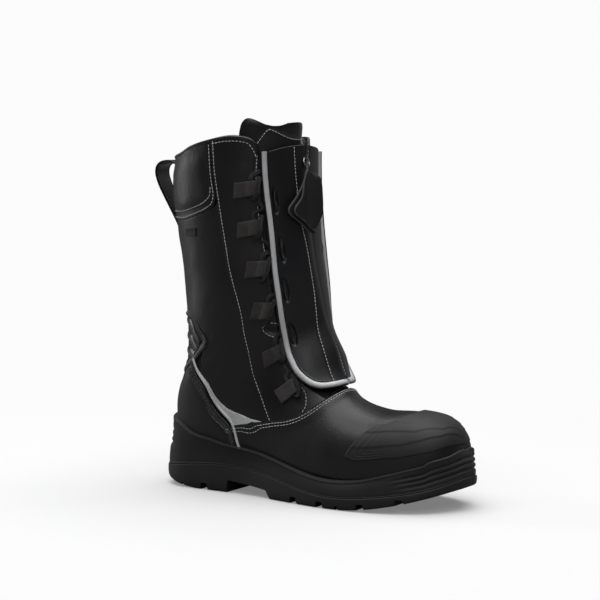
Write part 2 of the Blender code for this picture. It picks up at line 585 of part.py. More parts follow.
def make_sole():
    count = 27
    top_half = line(SOLE_TOP, 160)
    out, inn = (even(on_upper(top_half[:, 0], sign * top_half[:, 1], 4.2), count) for sign in (-1, 1))
    rim = np.vstack([out, inn[-2:0:-1]])
    inner = ring_at(count, 7.6, lambda x: inside(x) + .7)
    low = ring_at(count, 0.6, lambda x: parting(x) + .7)
    bulge = low * .45 + rim * .55
    middle = ring_at(count, 0.8, 0)
    bulge[:, :2] = bulge[:, :2] * .4 + middle[:, :2] * .6
    midsole = stack("midsole", [inner, low, bulge, rim], RUBBER)
    v = np.linspace(-1, 1, 29)[:-1]
    rows = np.array([.1, .5, 1, 1.5, 2, 2.6, 3.3, 4.5, 6, 7, 8, 9, 9.5, 9.9, 10.2, 10.5, 10.8, 11.2, 12])
    u = np.broadcast_to(rows[:, None], (len(rows), len(v)))
    grid = on_upper(u, np.broadcast_to(v, u.shape), 1.8).reshape(u.shape + (3,))
    nu, nv = u.shape
    faces = [[i * nv + j, (i + 1) * nv + j, (i + 1) * nv + (j + 1) % nv, i * nv + (j + 1) % nv]
             for i in range(nu - 1) for j in range(nv)]
    faces += [list(range(nv)), [(nu - 1) * nv + j for j in range(nv)]]
    cavity = add_mesh("upper_cavity", grid.reshape(-1, 3), faces, RUBBER, CUTTERS)
    pocket = patch("shank_pocket", SHANK_GRID, -1.5, 2.4, RUBBER, CUTTERS)
    for tool in (cavity, pocket):
        tool.display_type = "WIRE"
    cut(midsole, cavity, pocket)

    rings = [ring_at(count, 3.0, ground), ring_at(count, 0.0, lambda x: ground(x) + 2.2),
             ring_at(count, 0.0, parting), ring_at(count, 7.0, inside)]
    outsole = stack("outsole", rings, RUBBER)
    grooves = [box("waist_cut", (36, -70, -5), (90, 70, 8.5), CUTTERS)]
    for k, (x, width, deep) in enumerate(((-16, 4, 3), (10, 6, 5), (26, 3, 2.5), (118, 8, 6), (148, 8, 5.5),
                                          (166, 4, 3.5), (189, 8, 5), (223, 7, 5))):
        top = float(ground(x)) + deep
        grooves.append(box(f"groove_{k}", (x - width / 2, -70, -5), (x + width / 2, 70, top), CUTTERS))
    cut(outsole, *grooves)


# ---------------------------------------------------------------- build
clear_scene()
PARTS = collection("firefighting_boot")
CUTTERS = collection("cutters", hidden=True)
LEATHER_MAT = material("black_leather", (.012, .012, .015), .38)
SOFT_LEATHER = material("soft_leather", (.014, .014, .016), .5)
RUBBER = material("black_rubber", (.018, .018, .02), .65)
WEBBING = material("webbing", (.035, .032, .032), .85)
LACE = material("lace", (.01, .01, .011), .8)
LINING = material("lining_textile", (.06, .06, .065), .9)
REFLECTIVE = material("reflective_silver", (.62, .64, .66), .35, .3)
ZIP_MAT = material("zip_tape", (.012, .012, .013), .7)
BRASS = material("slider_metal", (.35, .34, .33), .3, 1.0)
STEEL = material("steel", (.5, .5, .52), .35, 1.0)
BOARD = material("fibre_board", (.32, .26, .2), .9)
FOAM = material("foam", (.15, .15, .16), .95)

SHANK_GRID = np.stack(np.meshgrid([6.0, 7.0, 8.0, 9.0, 9.4], 1 + np.array([-.05, 0, .05]), indexing="ij"), -1)

both_sides("facing", make_facing)
both_sides("quarter", make_quarter)
make_vamp()
patch("collar_patch", coons(around([(17.2, .495), (17.07, .607), (16.9, .70), (16.88, .85), (16.88, 1.0)]),
                            around([(u + .05, v + .002) for u, v in REAR_PATCH_FOOT[:-1]] + [(15.3, 1.0)]),
                            [(17.2, .495), (16.3, .481), (15.35, .462)],
                            [(17.2, 1.505), (16.3, 1.519), (15.35, 1.538)], 19, 4), -2.1, .4, SOFT_LEATHER)
patch("achilles_flex_panel", coons(around(FLEX_TOP), around([(11.85, .592), (11.74, .655), (11.78, .75), (11.8, 1.0)]),
                                   [(11.95, .585), (11.9, .588), (11.85, .592)],
                                   [(11.95, 1.415), (11.9, 1.412), (11.85, 1.408)], 15, 4, .2), .5, 2.0, SOFT_LEATHER)
patch("heel_counter", coons(around([(11.66, .66), (11.68, .75), (11.72, 1.0)]),
                            around([(8.5, .705), (9.1, .80), (9.7, .9), (9.9, 1.0)]),
                            [(11.66, .66), (11.2, .61), (10.74, .568), (10.2, .545), (9.7, .54), (9.25, .56),
                             (8.75, .61), (8.5, .705)],
                            [(11.66, 1.34), (11.2, 1.39), (10.74, 1.432), (10.2, 1.455), (9.7, 1.46), (9.25, 1.44),
                             (8.75, 1.39), (8.5, 1.295)], 15, 12, .2), -2.1, .3, RUBBER)
top, foot = line(TOE_GUARD_TOP, 10), line(TOE_GUARD_FOOT, 10)
grid = np.stack([np.vstack([top * (1, -1), top[::-1][1:]]), np.vstack([foot * (1, -1), foot[::-1][1:]])], 1)
grid = np.stack([grid[:, 0] * (1 - t) + grid[:, 1] * t for t in (0, .2, .4, .6, .8, 1)], 1)
patch("toe_guard", grid, 1.2, 2.7, RUBBER)


def make_reflector(name, sign):
    upper = [(11.45, .628), (10.74, .546), (10.02, .507), (9.28, .498), (8.66, .474)]
    lower = [(11.40, .634), (10.66, .553), (9.95, .533), (9.38, .532), (8.74, .487)]
    patch(name, ruled(side(upper, sign), side(lower, sign), 9, 3), .5, 1.0, REFLECTIVE)


def make_heel_piping(name, sign):
    run = line(side([(11.66, .655), (11.25, .60), (10.74, .556), (10.2, .534), (9.7, .530), (9.2, .550),
                     (8.75, .588)], sign), 14)
    tube(name, on_upper(run[:, 0], run[:, 1], 2.5), 1.35, REFLECTIVE, 8)


both_sides("heel_reflector", make_reflector)
both_sides("heel_piping", make_heel_piping)
both_sides("zip_panel", make_panel)
both_sides("panel_piping", make_piping)
both_sides("zip_tape", make_tape)
make_slider()
make_pull()
sweep_front("zip_bottom_stop", [(-3.4, -1.6), (3.4, -1.6), (3.4, 1.0), (-3.4, 1.0)], TAPE_LOW - .3, TAPE_LOW - .9, 2,
            BRASS)
for number, centre in enumerate(LOOPS, 1):
    make_loop(f"lace_loop_lateral_{number}", centre, -1)
    make_loop(f"lace_loop_medial_{number}", centre, 1)
both_sides("lace", make_lace)
make_bootie()
make_pull_loop()

# Pieces between the leather and the bootie
rows = np.array([7.3, 8, 9, 10, 11, 12, 13, 14, 15, 16, 17, 17.75, 18.0])
width = np.array([.22, .25, .28, .30, .31, .31, .31, .31, .31, .31, .31, .29, .24])
grid = np.stack([np.broadcast_to(rows[:, None], (13, 9)), width[:, None] * np.linspace(-1, 1, 9)[None]], -1)
patch("tongue", grid, *BACKING, SOFT_LEATHER)
grid = np.stack(np.meshgrid([.9, 1.3, 1.8, 2.4, 3.1, 4, 4.7], np.linspace(-.72, .72, 17), indexing="ij"), -1)
patch("toe_cap", grid, -4.4, -3.3, STEEL)
patch("heel_stiffener", coons(around([(11.3, .68), (11.35, .8), (11.4, 1.0)]),
                              around([(9.0, .72), (9.4, .8), (9.8, .88), (9.95, 1.0)]),
                              [(11.3, .68), (10.2, .64), (9.0, .72)], [(11.3, 1.32), (10.2, 1.36), (9.0, 1.28)],
                              13, 9), *BACKING, BOARD)
for name, sign in (("ankle_pad_lateral", -1), ("ankle_pad_medial", 1)):
    grid = coons(side([(12.4, .44), (11.0, .42), (9.9, .45)], sign), side([(12.5, .62), (11.5, .60), (10.6, .56)], sign),
                 side([(12.4, .44), (12.6, .53), (12.5, .62)], sign), side([(9.9, .45), (10.1, .52), (10.6, .56)], sign),
                 7, 5)
    patch(name, grid, *BACKING, FOAM)

# Pieces under the foot
grid = np.stack(np.meshgrid([1.6, 2.5, 3.5, 4.5, 5.5, 6.5, 7.5, 8.5, 9.3], 1 + np.linspace(-.19, .19, 7),
                            indexing="ij"), -1)
patch("insole_board", grid, *BACKING, BOARD)
patch("footbed", np.stack([grid[..., 0], 1 + (grid[..., 1] - 1) * .85], -1), -12.0, -8.4, FOAM)
patch("puncture_plate", np.stack([grid[..., 0], 1 + (grid[..., 1] - 1) * .88], -1), -2.1, -1.3, STEEL)
grid = SHANK_GRID.copy()
patch("shank", np.stack([grid[..., 0] * .96 + .3, 1 + (grid[..., 1] - 1) * .85], -1), -.9, 1.9, STEEL)
patch("side_tag", np.stack(np.meshgrid([14.42, 14.80], [-.65, -.62, -.59], indexing="ij"), -1), GAP, 1.1, LEATHER_MAT)
make_sole()

# Pivots: each moving piece has its origin on its joint's axis
pivot = {"zip_slider": Vector((ARC_X, 0, ARC_Z)) * MM}
foot_point = Vector(front(FLAP_FOOT, 0, 0)) * MM
for name in ("zip_panel", "panel_piping", "zip_tape"):
    for where in ("_lateral", "_medial"):
        pivot[name + where] = foot_point
for name in ("pull_ring", "pull_tab"):
    pivot[name] = Vector(front(ZIP_TOP, 0, 5.6)) * MM
for name, point in pivot.items():
    made[name].data.transform(Matrix.Translation(-point))
    made[name].location = point
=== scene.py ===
"""Looks of the firefighting boot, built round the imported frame.

Tables are in millimetres in the frame's own axes (+X toe, +Y inner side, +Z up). The sole's box in the
frame sets their scale and place. The upper is one smooth surface with coordinates (u, v), as in the part.
"""
import math

import bmesh
import bpy
import numpy as np
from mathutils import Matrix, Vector, noise


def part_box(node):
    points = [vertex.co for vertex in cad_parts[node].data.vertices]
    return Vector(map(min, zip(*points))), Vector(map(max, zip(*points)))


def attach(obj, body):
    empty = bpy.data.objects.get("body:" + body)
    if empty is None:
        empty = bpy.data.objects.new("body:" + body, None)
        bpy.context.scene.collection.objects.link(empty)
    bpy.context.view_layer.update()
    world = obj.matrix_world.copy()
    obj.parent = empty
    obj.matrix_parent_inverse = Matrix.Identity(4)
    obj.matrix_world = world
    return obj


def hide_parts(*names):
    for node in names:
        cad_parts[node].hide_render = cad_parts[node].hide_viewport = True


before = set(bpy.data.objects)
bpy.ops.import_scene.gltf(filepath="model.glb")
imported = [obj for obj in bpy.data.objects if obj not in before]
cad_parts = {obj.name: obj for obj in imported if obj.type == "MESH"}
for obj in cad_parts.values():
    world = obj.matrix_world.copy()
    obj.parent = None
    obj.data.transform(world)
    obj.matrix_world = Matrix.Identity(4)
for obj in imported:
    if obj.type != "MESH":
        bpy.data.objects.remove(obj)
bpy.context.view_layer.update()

SOLE_BACK, SOLE_LENGTH = -50.0, 319.0
sole_low, sole_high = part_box("outsole")
UNIT = (sole_high.x - sole_low.x) / SOLE_LENGTH
ORIGIN = np.array([sole_low.x - SOLE_BACK * UNIT, 0.0, sole_low.z])

# ---------------------------------------------------------------- the upper's surface
ARC_X, ARC_Z, ARC_R = 522.6, 299.0, 429.6      # front line of the shaft, seen from the side


def arc_x(z):
    return ARC_X - math.sqrt(ARC_R ** 2 - (z - ARC_Z) ** 2)


# Top or front point x, z; bottom or back point x, z; half widths outer and inner; sideways shift;
# height of the widest point as a share; roundness above and below it
STATIONS = np.array([
    (260, 50, 260, 34, 2, 2, 12, .60, 2.2, 2.6),
    (259, 61, 260, 30, 18, 15, 11, .60, 2.3, 3.0),
    (251, 73, 252, 27, 32, 26, 10, .62, 2.4, 3.5),
    (235, 81, 237, 24, 42, 37, 9, .64, 2.4, 4.0),
    (210, 84, 213, 20, 49, 44, 6, .66, 2.4, 4.5),
    (182, 84, 185, 17, 52, 48, 3, .68, 2.3, 5.0),
    (160, 90, 150, 16, 51, 48, 0, .68, 2.1, 5.0),
    (145, 101, 112, 18, 47, 45, -1, .66, 2.0, 4.5),
    (arc_x(116), 116, 65, 22, 44, 43, 0, .62, 2.0, 4.0),
    (arc_x(136), 136, 18, 26, 43, 42, 0, .58, 2.0, 3.4),
    (arc_x(156), 156, -24, 32, 45, 44, 0, .55, 2.0, 2.8),
    (arc_x(178), 178, -36, 72, 49, 48, 0, .52, 2.1, 2.4),
    (arc_x(202), 202, -25, 115, 53, 52, 0, .50, 2.1, 2.2),
    (arc_x(228), 228, -24, 158, 55, 55, 0, .50, 2.1, 2.1),
    (arc_x(256), 256, -27, 200, 56, 56, 0, .50, 2.1, 2.1),
    (arc_x(284), 284, -34, 243, 57, 57, 0, .50, 2.1, 2.1),
    (arc_x(308), 308, -38, 282, 57, 57, 0, .50, 2.1, 2.1),
    (arc_x(330), 330, -37, 316, 56, 56, 0, .50, 2.1, 2.1),
    (arc_x(351), 351, -35, 348, 55, 55, 0, .50, 2.1, 2.1),
], float)
LAST = len(STATIONS) - 1
PER_U, PER_V = 25.0, 190.0                     # rough millimetres per step of u and of v

# Seams as (u, v), for the side with v > 0
FACING_SEAM = [(17.2, .492), (16.3, .477), (15.3, .460), (14.16, .450), (13.32, .442), (12.41, .422),
               (11.46, .402), (10.59, .388), (9.73, .395), (8.89, .434), (8.4, .462)]
FACING_EDGE = [(16.5, .258), (15.5, .262), (14.44, .260), (13.3, .250), (12.07, .246), (10.71, .248),
               (9.6, .255), (8.6, .25), (7.75, .215), (7.2, .19)]
COLLAR_FRONT = [(17.2, .492), (17.28, .42), (17.25, .37), (17.13, .308), (16.85, .269), (16.5, .258)]
INNER_EDGE = [(16.84, .170), (16.3, .18), (15.6, .215)] + FACING_EDGE[2:]
INNER_COLLAR = [(17.2, .492), (17.28, .42), (17.28, .33), (17.24, .26), (17.14, .20), (16.84, .170)]
COLLAR_BACK = [(17.2, .495), (17.07, .607), (16.9, .70), (16.88, .85), (16.88, 1.0)]
VAMP_SEAM = [(8.4, .462), (7.86, .398), (7.56, .333), (7.38, .26), (7.2, .19)]
VAMP_EDGE = [(9.36, .545), (9.2, .528), (9.05, .513), (8.92, .505), (8.80, .5005), (8.68, .492), (8.53, .474),
             (8.33, .447), (7.92, .398), (7.60, .335), (7.36, .26), (7.17, .176), (7.06, .10), (7.02, 0.0)]
PATCH_FOOT = [(15.35, .464), (15.1, .482), (15.04, .557), (15.07, .662), (15.19, .781), (15.3, 1.0)]
FLEX_TOP = [(11.95, .585), (12.4, .64), (12.85, .70), (13.05, .80), (13.15, 1.0)]
FLEX_FOOT = [(11.85, .592), (11.74, .655), (11.78, .75), (11.8, 1.0)]
HEEL_LINE = [(11.72, .655), (11.25, .597), (10.74, .548), (10.3, .526), (9.9, .515), (9.5, .516), (9.2, .527),
             (8.9, .556), (8.6, .60), (8.4, .70)]
PANEL_SIDE = [(16.60, .232), (15.16, .220), (14.2, .213), (13.4, .213), (12.4, .220), (11.2, .223),
              (10.3, .228), (9.5, .237), (8.97, .240)]
PANEL_FOOT = [(8.97, .240), (8.52, .228), (8.13, .206), (7.8, .172), (7.56, .124), (7.42, .075), (7.36, .03),
              (7.35, 0.0)]
PANEL_NARROW = {"lateral": 1.0, "medial": .83}
GUARD_TOP = [(5.46, .452), (5.40, .42), (5.1, .325), (4.76, .247), (4.16, .17), (3.87, 0.0)]
GUARD_FOOT = [(5.2, .462), (4.31, .462), (3.4, .457), (2.27, .404), (1.3, .25), (0.8, .056), (.75, 0.0)]
SOLE_TOP = [(10.95, 1.0), (10.74, .845), (10.38, .72), (9.7, .636), (9.07, .622), (8.55, .593), (8.0, .57),
            (7.32, .569), (6.68, .584), (6.03, .588), (5.41, .577), (4.65, .548), (3.67, .52), (2.5, .493),
            (1.43, .417), (0.6, .2), (0.28, 0.0)]
LOOPS = [(15.35, .330, 6), (14.18, .332, 10), (12.96, .316, 20), (11.68, .317, 27), (10.12, .300, 8),
         (8.68, .328, 10)]
SLOTS = [(14.77, .177), (13.21, .166), (11.90, .183), (10.34, .194)]
SIDES = (("lateral", -1), ("medial", 1))


def catmull(points, t):
    """Points on a smooth line through points, at parameters t counted in points."""
    points = np.asarray(points, float)
    t = np.clip(np.asarray(t, float), 0, len(points) - 1)
    i = np.minimum(t.astype(int), len(points) - 2)
    f = (t - i)[:, None]
    ends = np.vstack([2 * points[0] - points[1], points, 2 * points[-1] - points[-2]])
    a, b, c, d = ends[i], ends[i + 1], ends[i + 2], ends[i + 3]
    square, cube = 2 * a - 5 * b + 4 * c - d, 3 * b - a - 3 * c + d
    return 0.5 * (2 * b + (c - a) * f + square * f ** 2 + cube * f ** 3)


def unit(vectors):
    """The same directions at length 1."""
    return vectors / np.maximum(np.linalg.norm(vectors, axis=-1, keepdims=True), 1e-9)


def left_of(line):
    """Unit normals on the left of a 2-D line."""
    step = np.gradient(line, axis=0)
    return unit(np.stack([-step[:, 1], step[:, 0]], 1))


def outward(loop):
    """Unit normals pointing out of a closed 2-D loop."""
    step = np.roll(loop, -1, 0) - np.roll(loop, 1, 0)
    return unit(np.stack([step[:, 1], -step[:, 0]], 1))


def run_of(points):
    """Length along a line up to each of its points."""
    return np.concatenate([[0], np.cumsum(np.linalg.norm(np.diff(points, axis=0), axis=1))])


def read_off(at, run, rows):
    """Every column of rows, given along run, at the places at."""
    return np.stack([np.interp(at, run, column) for column in rows.T], 1)


def bare(u, v):
    """Points on the upper's surface; v runs from -1 to 1, 0 at the front, negative on the outer side."""
    v = (v + 1) % 2 - 1
    tx, tz, bx, bz, out, inn, shift, wide, top_n, low_n = catmull(STATIONS, u).T
    angle = np.abs(v) * math.pi
    cos, sin = np.cos(angle), np.abs(np.sin(angle))
    above = angle <= math.pi / 2
    n = np.where(above, top_n, low_n)
    a, b = np.abs(cos) ** (2 / n), sin ** (2 / n)
    share = np.where(above, wide * (1 - a), wide + (1 - wide) * a)
    y = shift + np.where(v < 0, -out, inn) * b
    return np.stack([tx + (bx - tx) * share, y, tz + (bz - tz) * share], 1)


def normals(u, v):
    """Outward normals of the upper; at v = .5, where a section's halves meet, from a little beside it."""
    off = np.where(np.abs(np.abs((v + 1) % 2 - 1) - .5) < .003, .004, 0)
    e = 2e-3
    du = bare(np.clip(u + e, 0, LAST), v) - bare(np.clip(u - e, 0, LAST), v)
    dv = bare(u, v + off + e) - bare(u, v + off - e)
    return unit(np.cross(dv, du))


def on_upper(u, v, lift=0.0):
    """Points on the upper at (u, v), lifted outward; the result has the shape of u with a last axis of 3."""
    u, v, lift = (np.asarray(x, float) for x in np.broadcast_arrays(u, v, lift))
    flat = bare(u.ravel(), v.ravel()) + normals(u.ravel(), v.ravel()) * lift.ravel()[:, None]
    return flat.reshape(u.shape + (3,))


# ---------------------------------------------------------------- lines and grids in (u, v)
def smooth_line(points, smooth=True):
    """A dense run of points through a few given ones."""
    points = np.asarray(points, float)
    if not smooth:
        return points
    return catmull(points, np.linspace(0, len(points) - 1, 24 * len(points)))


def length_of(points, smooth=True):
    return float(run_of(smooth_line(points, smooth) * (PER_U, PER_V))[-1])


def along(points, at, smooth=True):
    """Places along a line at shares 0 to 1 of its length."""
    fine = smooth_line(points, smooth)
    run = run_of(fine * (PER_U, PER_V))
    return read_off(np.asarray(at, float) * run[-1], run, fine)


def side(points, sign):
    """A line given for v > 0, put on the side of sign."""
    return [(u, sign * v) for u, v in points]


def around(points):
    """A line given on one side, carried on over the back to the other side."""
    return points + [(u, 2 - v) for u, v in points[::-1][1:]]


def across(points):
    """A line given on one side up to v = 0, carried on over the front to the other side."""
    return [(u, -v) for u, v in points] + points[::-1][1:]


def spaced(length, pitch, edge=1.0):
    """Shares along a length, closer together in the last few tenths of a millimetre at both ends."""
    border = np.array([0, .08, .25, .55]) * edge
    count = max(2, int(round((length - 2 * edge) / pitch)))
    middle = np.linspace(edge, length - edge, count + 1)
    return np.concatenate([border, middle, length - border[::-1]]) / length


def coons(low, high, left, right, pitch=2.0, smooth=True):
    """Grid of (u, v) inside four lines: low and high run in the first index, left and right join them."""
    s = spaced(max(length_of(low, smooth), length_of(high, smooth)), pitch)
    t = spaced(max(length_of(left), length_of(right)), pitch)
    a, b = along(low, s, smooth), along(high, s, smooth)
    c, d = along(left, t), along(right, t)
    S, T = s[:, None, None], t[None, :, None]
    p00, p10, p01, p11 = a[0], a[-1], b[0], b[-1]
    return ((1 - T) * a[:, None] + T * b[:, None] + (1 - S) * c[None] + S * d[None]
            - ((1 - S) * (1 - T) * p00 + S * (1 - T) * p10 + (1 - S) * T * p01 + S * T * p11))


def ruled(first, second, shares, rows):
    """Grid of (u, v) between two lines: shares along both lines, rows from the first to the second."""
    a, b = along(first, shares), along(second, shares)
    t = np.asarray(rows, float)[None, :, None]
    return a[:, None] * (1 - t) + b[:, None] * t


def smoothstep(x):
    x = np.clip(x, 0, 1)
    return x * x * (3 - 2 * x)


def lumps(points, size, amount, seed=0.0):
    """Soft unevenness at points in millimetres."""
    flat = points.reshape(-1, 3)
    out = [noise.noise(Vector(p / size) + Vector((seed, seed * .7, -seed))) for p in flat]
    return amount * np.array(out).reshape(points.shape[:-1])


def distance_to(points, run):
    """Distance from every point to a dense run of points."""
    flat = points.reshape(-1, 3)
    best = np.full(len(flat), 1e9)
    for start in range(0, len(run), 200):
        part = run[start:start + 200]
        d = ((flat[:, None] - part[None]) ** 2).sum(-1).min(1)
        best = np.minimum(best, d)
    return np.sqrt(best).reshape(points.shape[:-1])


# ---------------------------------------------------------------- materials
MATERIALS = {}
OUTPUT_OF = {"Noise": "Fac", "Voronoi": "Distance", "Wave": "Fac"}     # the output read from each texture


def grey(value):
    return (value, value, value, 1)


def put(node, **values):
    """Sets a node's properties and inputs; an underscore stands for a space in an input's name."""
    for key, value in values.items():
        if hasattr(node, key):
            setattr(node, key, value)
        else:
            node.inputs[key.replace("_", " ")].default_value = value


class Look:
    """A node material: colour and roughness from ramps over textures, relief from chained bumps."""

    def __init__(self, name, colour, roughness, **inputs):
        self.material = MATERIALS[name] = bpy.data.materials.new(name)
        self.material.use_nodes = True
        self.tree = self.material.node_tree
        self.shader = self.tree.nodes["Principled BSDF"]
        put(self.shader, Base_Color=(*colour, 1), Roughness=roughness, **inputs)

    def add(self, kind, **values):
        node = self.tree.nodes.new("ShaderNode" + kind)
        put(node, **values)
        return node

    def link(self, *pairs):
        for start, end in pairs:
            self.tree.links.new(start, end)

    def texture(self, kind, scale, source="Object", **values):
        place = self.tree.nodes.get("Texture Coordinate") or self.add("TexCoord")
        node = self.add("Tex" + kind, Scale=scale, **values)
        self.link((place.outputs[source], node.inputs["Vector"]))
        return node.outputs[OUTPUT_OF[kind]]

    def combine(self, operation, first, second):
        node = self.add("Math", operation=operation)
        self.link((first, node.inputs[0]), (second, node.inputs[1]))
        return node.outputs[0]

    def ramp(self, factor, first, second, low=.35, high=.65, target="Base Color"):
        """Two colours, or two roughnesses, mixed by a texture."""
        node = self.add("ValToRGB")
        for stop, at, value in zip(node.color_ramp.elements, (low, high), (first, second)):
            stop.position = at
            stop.color = grey(value) if target == "Roughness" else (*value, 1)
        self.link((factor, node.inputs["Fac"]), (node.outputs["Color"], self.shader.inputs[target]))

    def bump(self, distance, *sources):
        """sources: (height socket, strength) pairs."""
        normal = None
        for socket, strength in sources:
            node = self.add("Bump", Strength=strength, Distance=distance)
            self.link((socket, node.inputs["Height"]))
            if normal:
                self.link((normal, node.inputs["Normal"]))
            normal = node.outputs["Normal"]
        self.link((normal, self.shader.inputs["Normal"]))


def leather(name, dark, light, rough, grain, coat=.0, crease=.25):
    look = Look(name, dark, rough, Coat_Weight=coat, Coat_Roughness=.28)
    clouds = look.texture("Noise", 14, Detail=5)
    fine = look.texture("Noise", 420, Detail=6)
    cells = look.texture("Voronoi", grain)
    look.ramp(clouds, dark, light, .3, .75)
    look.ramp(clouds, rough - .07, rough + .09, .3, .7, "Roughness")
    look.bump(.0004, (cells, crease), (fine, crease * .6))


def rubber(name, dark, light, rough):
    look = Look(name, dark, rough)
    clouds = look.texture("Noise", 30, Detail=6)
    fine = look.texture("Noise", 900, Detail=3)
    look.ramp(clouds, dark, light, .3, .7)
    look.ramp(clouds, rough - .05, rough + .08, .3, .7, "Roughness")
    look.bump(.0003, (fine, .18))


def woven(name, dark, light, rough, across_mm, along_mm):
    """Ribbed weave laid out on the UVs, which are millimetres."""
    look = Look(name, dark, rough, Sheen_Weight=.12)
    ribs = look.texture("Wave", 1 / across_mm, "UV", bands_direction="X")
    picks = look.texture("Wave", 1 / along_mm, "UV", bands_direction="Y")
    weave = look.combine("MULTIPLY", ribs, picks)
    clouds = look.texture("Noise", 90, Detail=5)
    look.ramp(look.combine("ADD", weave, clouds), dark, light, .35, 1.1)
    look.bump(.0006, (weave, .6), (clouds, .15))


def knit(name, dark, light, rough, size=700, strength=.5):
    look = Look(name, dark, rough, Sheen_Weight=.15)
    cells = look.texture("Voronoi", size)
    look.ramp(look.texture("Noise", 60, Detail=5), dark, light)
    look.bump(.0005, (cells, strength))


def metal(name, colour, rough):
    look = Look(name, colour, rough, Metallic=1.0)
    scratches = look.texture("Noise", 240, Detail=8)
    look.ramp(scratches, [c * .8 for c in colour], colour)
    look.ramp(scratches, rough - .08, rough + .12, target="Roughness")
    look.bump(.0002, (scratches, .1))


def reflective(name):
    """Silver retro-reflective tape: fine beads under a satin surface."""
    look = Look(name, (.66, .67, .68), .45, Metallic=.15)
    beads = look.texture("Voronoi", 2600)
    clouds = look.texture("Noise", 40, Detail=5)
    look.ramp(clouds, (.60, .61, .62), (.76, .77, .78))
    look.ramp(clouds, .38, .52, target="Roughness")
    look.bump(.0002, (beads, .12))


def make_materials():
    leather("black_leather", (.006, .0062, .0076), (.0098, .0101, .0118), .42, 950, coat=.07)
    leather("glossy_leather", (.008, .008, .009), (.012, .012, .014), .27, 700, coat=.3)
    leather("soft_leather", (.0065, .0065, .0078), (.0105, .0105, .012), .46, 600, coat=.04, crease=.45)
    leather("matte_leather", (.008, .008, .0085), (.012, .012, .0125), .6, 500, crease=.4)
    # leather of the Achilles rolls: the same black leather, but coloured several times lighter as a painted
    # sheen for the highlights along the ribs
    leather("rolled_leather_sheen", (.02, .02, .021), (.035, .035, .036), .3, 700, coat=.35)
    rubber("black_rubber", (.0135, .0137, .015), (.018, .0182, .02), .58)
    rubber("counter_rubber", (.0125, .0127, .014), (.0165, .0167, .0185), .55)
    woven("webbing", (.022, .019, .018), (.075, .066, .062), .8, 1.15, .55)
    woven("lace", (.003, .003, .0032), (.009, .009, .0095), .55, .8, .8)
    woven("zip_tape", (.008, .008, .009), (.02, .02, .022), .75, .6, .6)
    knit("lining_textile", (.045, .045, .05), (.085, .085, .09), .9)
    knit("foam", (.12, .12, .13), (.18, .18, .19), .95, 500)
    knit("fibre_board", (.28, .22, .17), (.36, .29, .22), .9, 400, .2)
    knit("thread", (.52, .51, .49), (.72, .71, .69), .6, 2500, .3)
    knit("dark_thread", (.05, .05, .052), (.12, .12, .125), .7, 2500, .3)
    knit("grey_thread", (.13, .13, .133), (.22, .22, .225), .7, 2500, .3)
    # grey of the pull tab's cut leather edges, made light enough to also serve as a painted highlight along
    # the tab's folded edges
    knit("cut_edge_and_highlight", (.06, .06, .062), (.11, .11, .113), .8, 900, .3)
    reflective("reflective_silver")
    metal("slider_metal", (.42, .41, .40), .3)
    metal("steel", (.55, .55, .57), .34)


def piece(name, points, faces, finish, body="boot", stands_for=(), uv=None, crease=48):
    """A named object in the frame's metres, riding on a body, from points in table millimetres."""
    mesh = bpy.data.meshes.new(name)
    mesh.from_pydata((ORIGIN + np.asarray(points, float) * UNIT).tolist(), [], faces)
    if uv is not None:
        layer = mesh.uv_layers.new(name="millimetres")
        corner = np.zeros(len(mesh.loops), np.int32)
        mesh.loops.foreach_get("vertex_index", corner)
        layer.data.foreach_set("uv", np.asarray(uv, np.float32)[corner].ravel())
    work = bmesh.new()
    work.from_mesh(mesh)
    bmesh.ops.recalc_face_normals(work, faces=work.faces)
    if work.calc_volume(signed=True) < 0:
        bmesh.ops.reverse_faces(work, faces=work.faces)
    work.to_mesh(mesh)
    work.free()
    mesh.polygons.foreach_set("use_smooth", [True] * len(mesh.polygons))
    mesh.set_sharp_from_angle(angle=math.radians(crease))
    mesh.materials.append(MATERIALS[finish])
    obj = bpy.data.objects.new(name, mesh)
    bpy.context.scene.collection.objects.link(obj)
    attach(obj, body)
    if stands_for:
        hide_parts(*stands_for)
    return obj


def grid_faces(nu, nv, start=0, turn=False, wrap=False):
    """Quads over a grid of points that starts at start; wrap joins its last column to its first."""
    i, j = np.meshgrid(np.arange(nu - 1), np.arange(nv if wrap else nv - 1), indexing="ij")
    a, b = i * nv + j, i * nv + (j + 1) % nv
    quads = np.stack([a, a + nv, b + nv, b], -1).reshape(-1, 4) + start
    return (quads[:, ::-1] if turn else quads).tolist()


def slab(name, outer, inner, finish, body="boot", stands_for=(), uv_grid=None, crease=48):
    """A closed piece between two grids of points, with UVs in millimetres measured over uv_grid."""
    nu, nv = outer.shape[:2]
    size = nu * nv
    faces = grid_faces(nu, nv) + grid_faces(nu, nv, size, True)
    for j in (0, nv - 1):
        faces += [[k, k + size, k + nv + size, k + nv] for k in range(j, size - nv, nv)]
    for first in (0, size - nv):
        faces += [[k, k + 1, k + 1 + size, k + size] for k in range(first, first + nv - 1)]
    uv = None if uv_grid is None else np.tile(metric_uv(uv_grid).reshape(-1, 2), (2, 1))
    points = np.vstack([outer.reshape(-1, 3), inner.reshape(-1, 3)])
    return piece(name, points, faces, finish, body, stands_for, uv, crease)


def grid_run(points, axis):
    """Millimetres run over a grid of points along one of its axes."""
    step = np.linalg.norm(np.diff(points, axis=axis), axis=-1)
    return np.concatenate([np.zeros_like(np.take(step, [0], axis)), np.cumsum(step, axis)], axis)


def metric_uv(points):
    return np.stack([grid_run(points, 0), grid_run(points, 1)], -1)


def border_distance(points):
    """Distance of each grid point from the nearest border, measured along the grid."""
    runs = [grid_run(points, axis) for axis in (0, 1)]
    return np.minimum.reduce(runs + [np.take(run, [-1], axis) - run for axis, run in enumerate(runs)])


THINNEST = .2       # a sheet never gets thinner than this


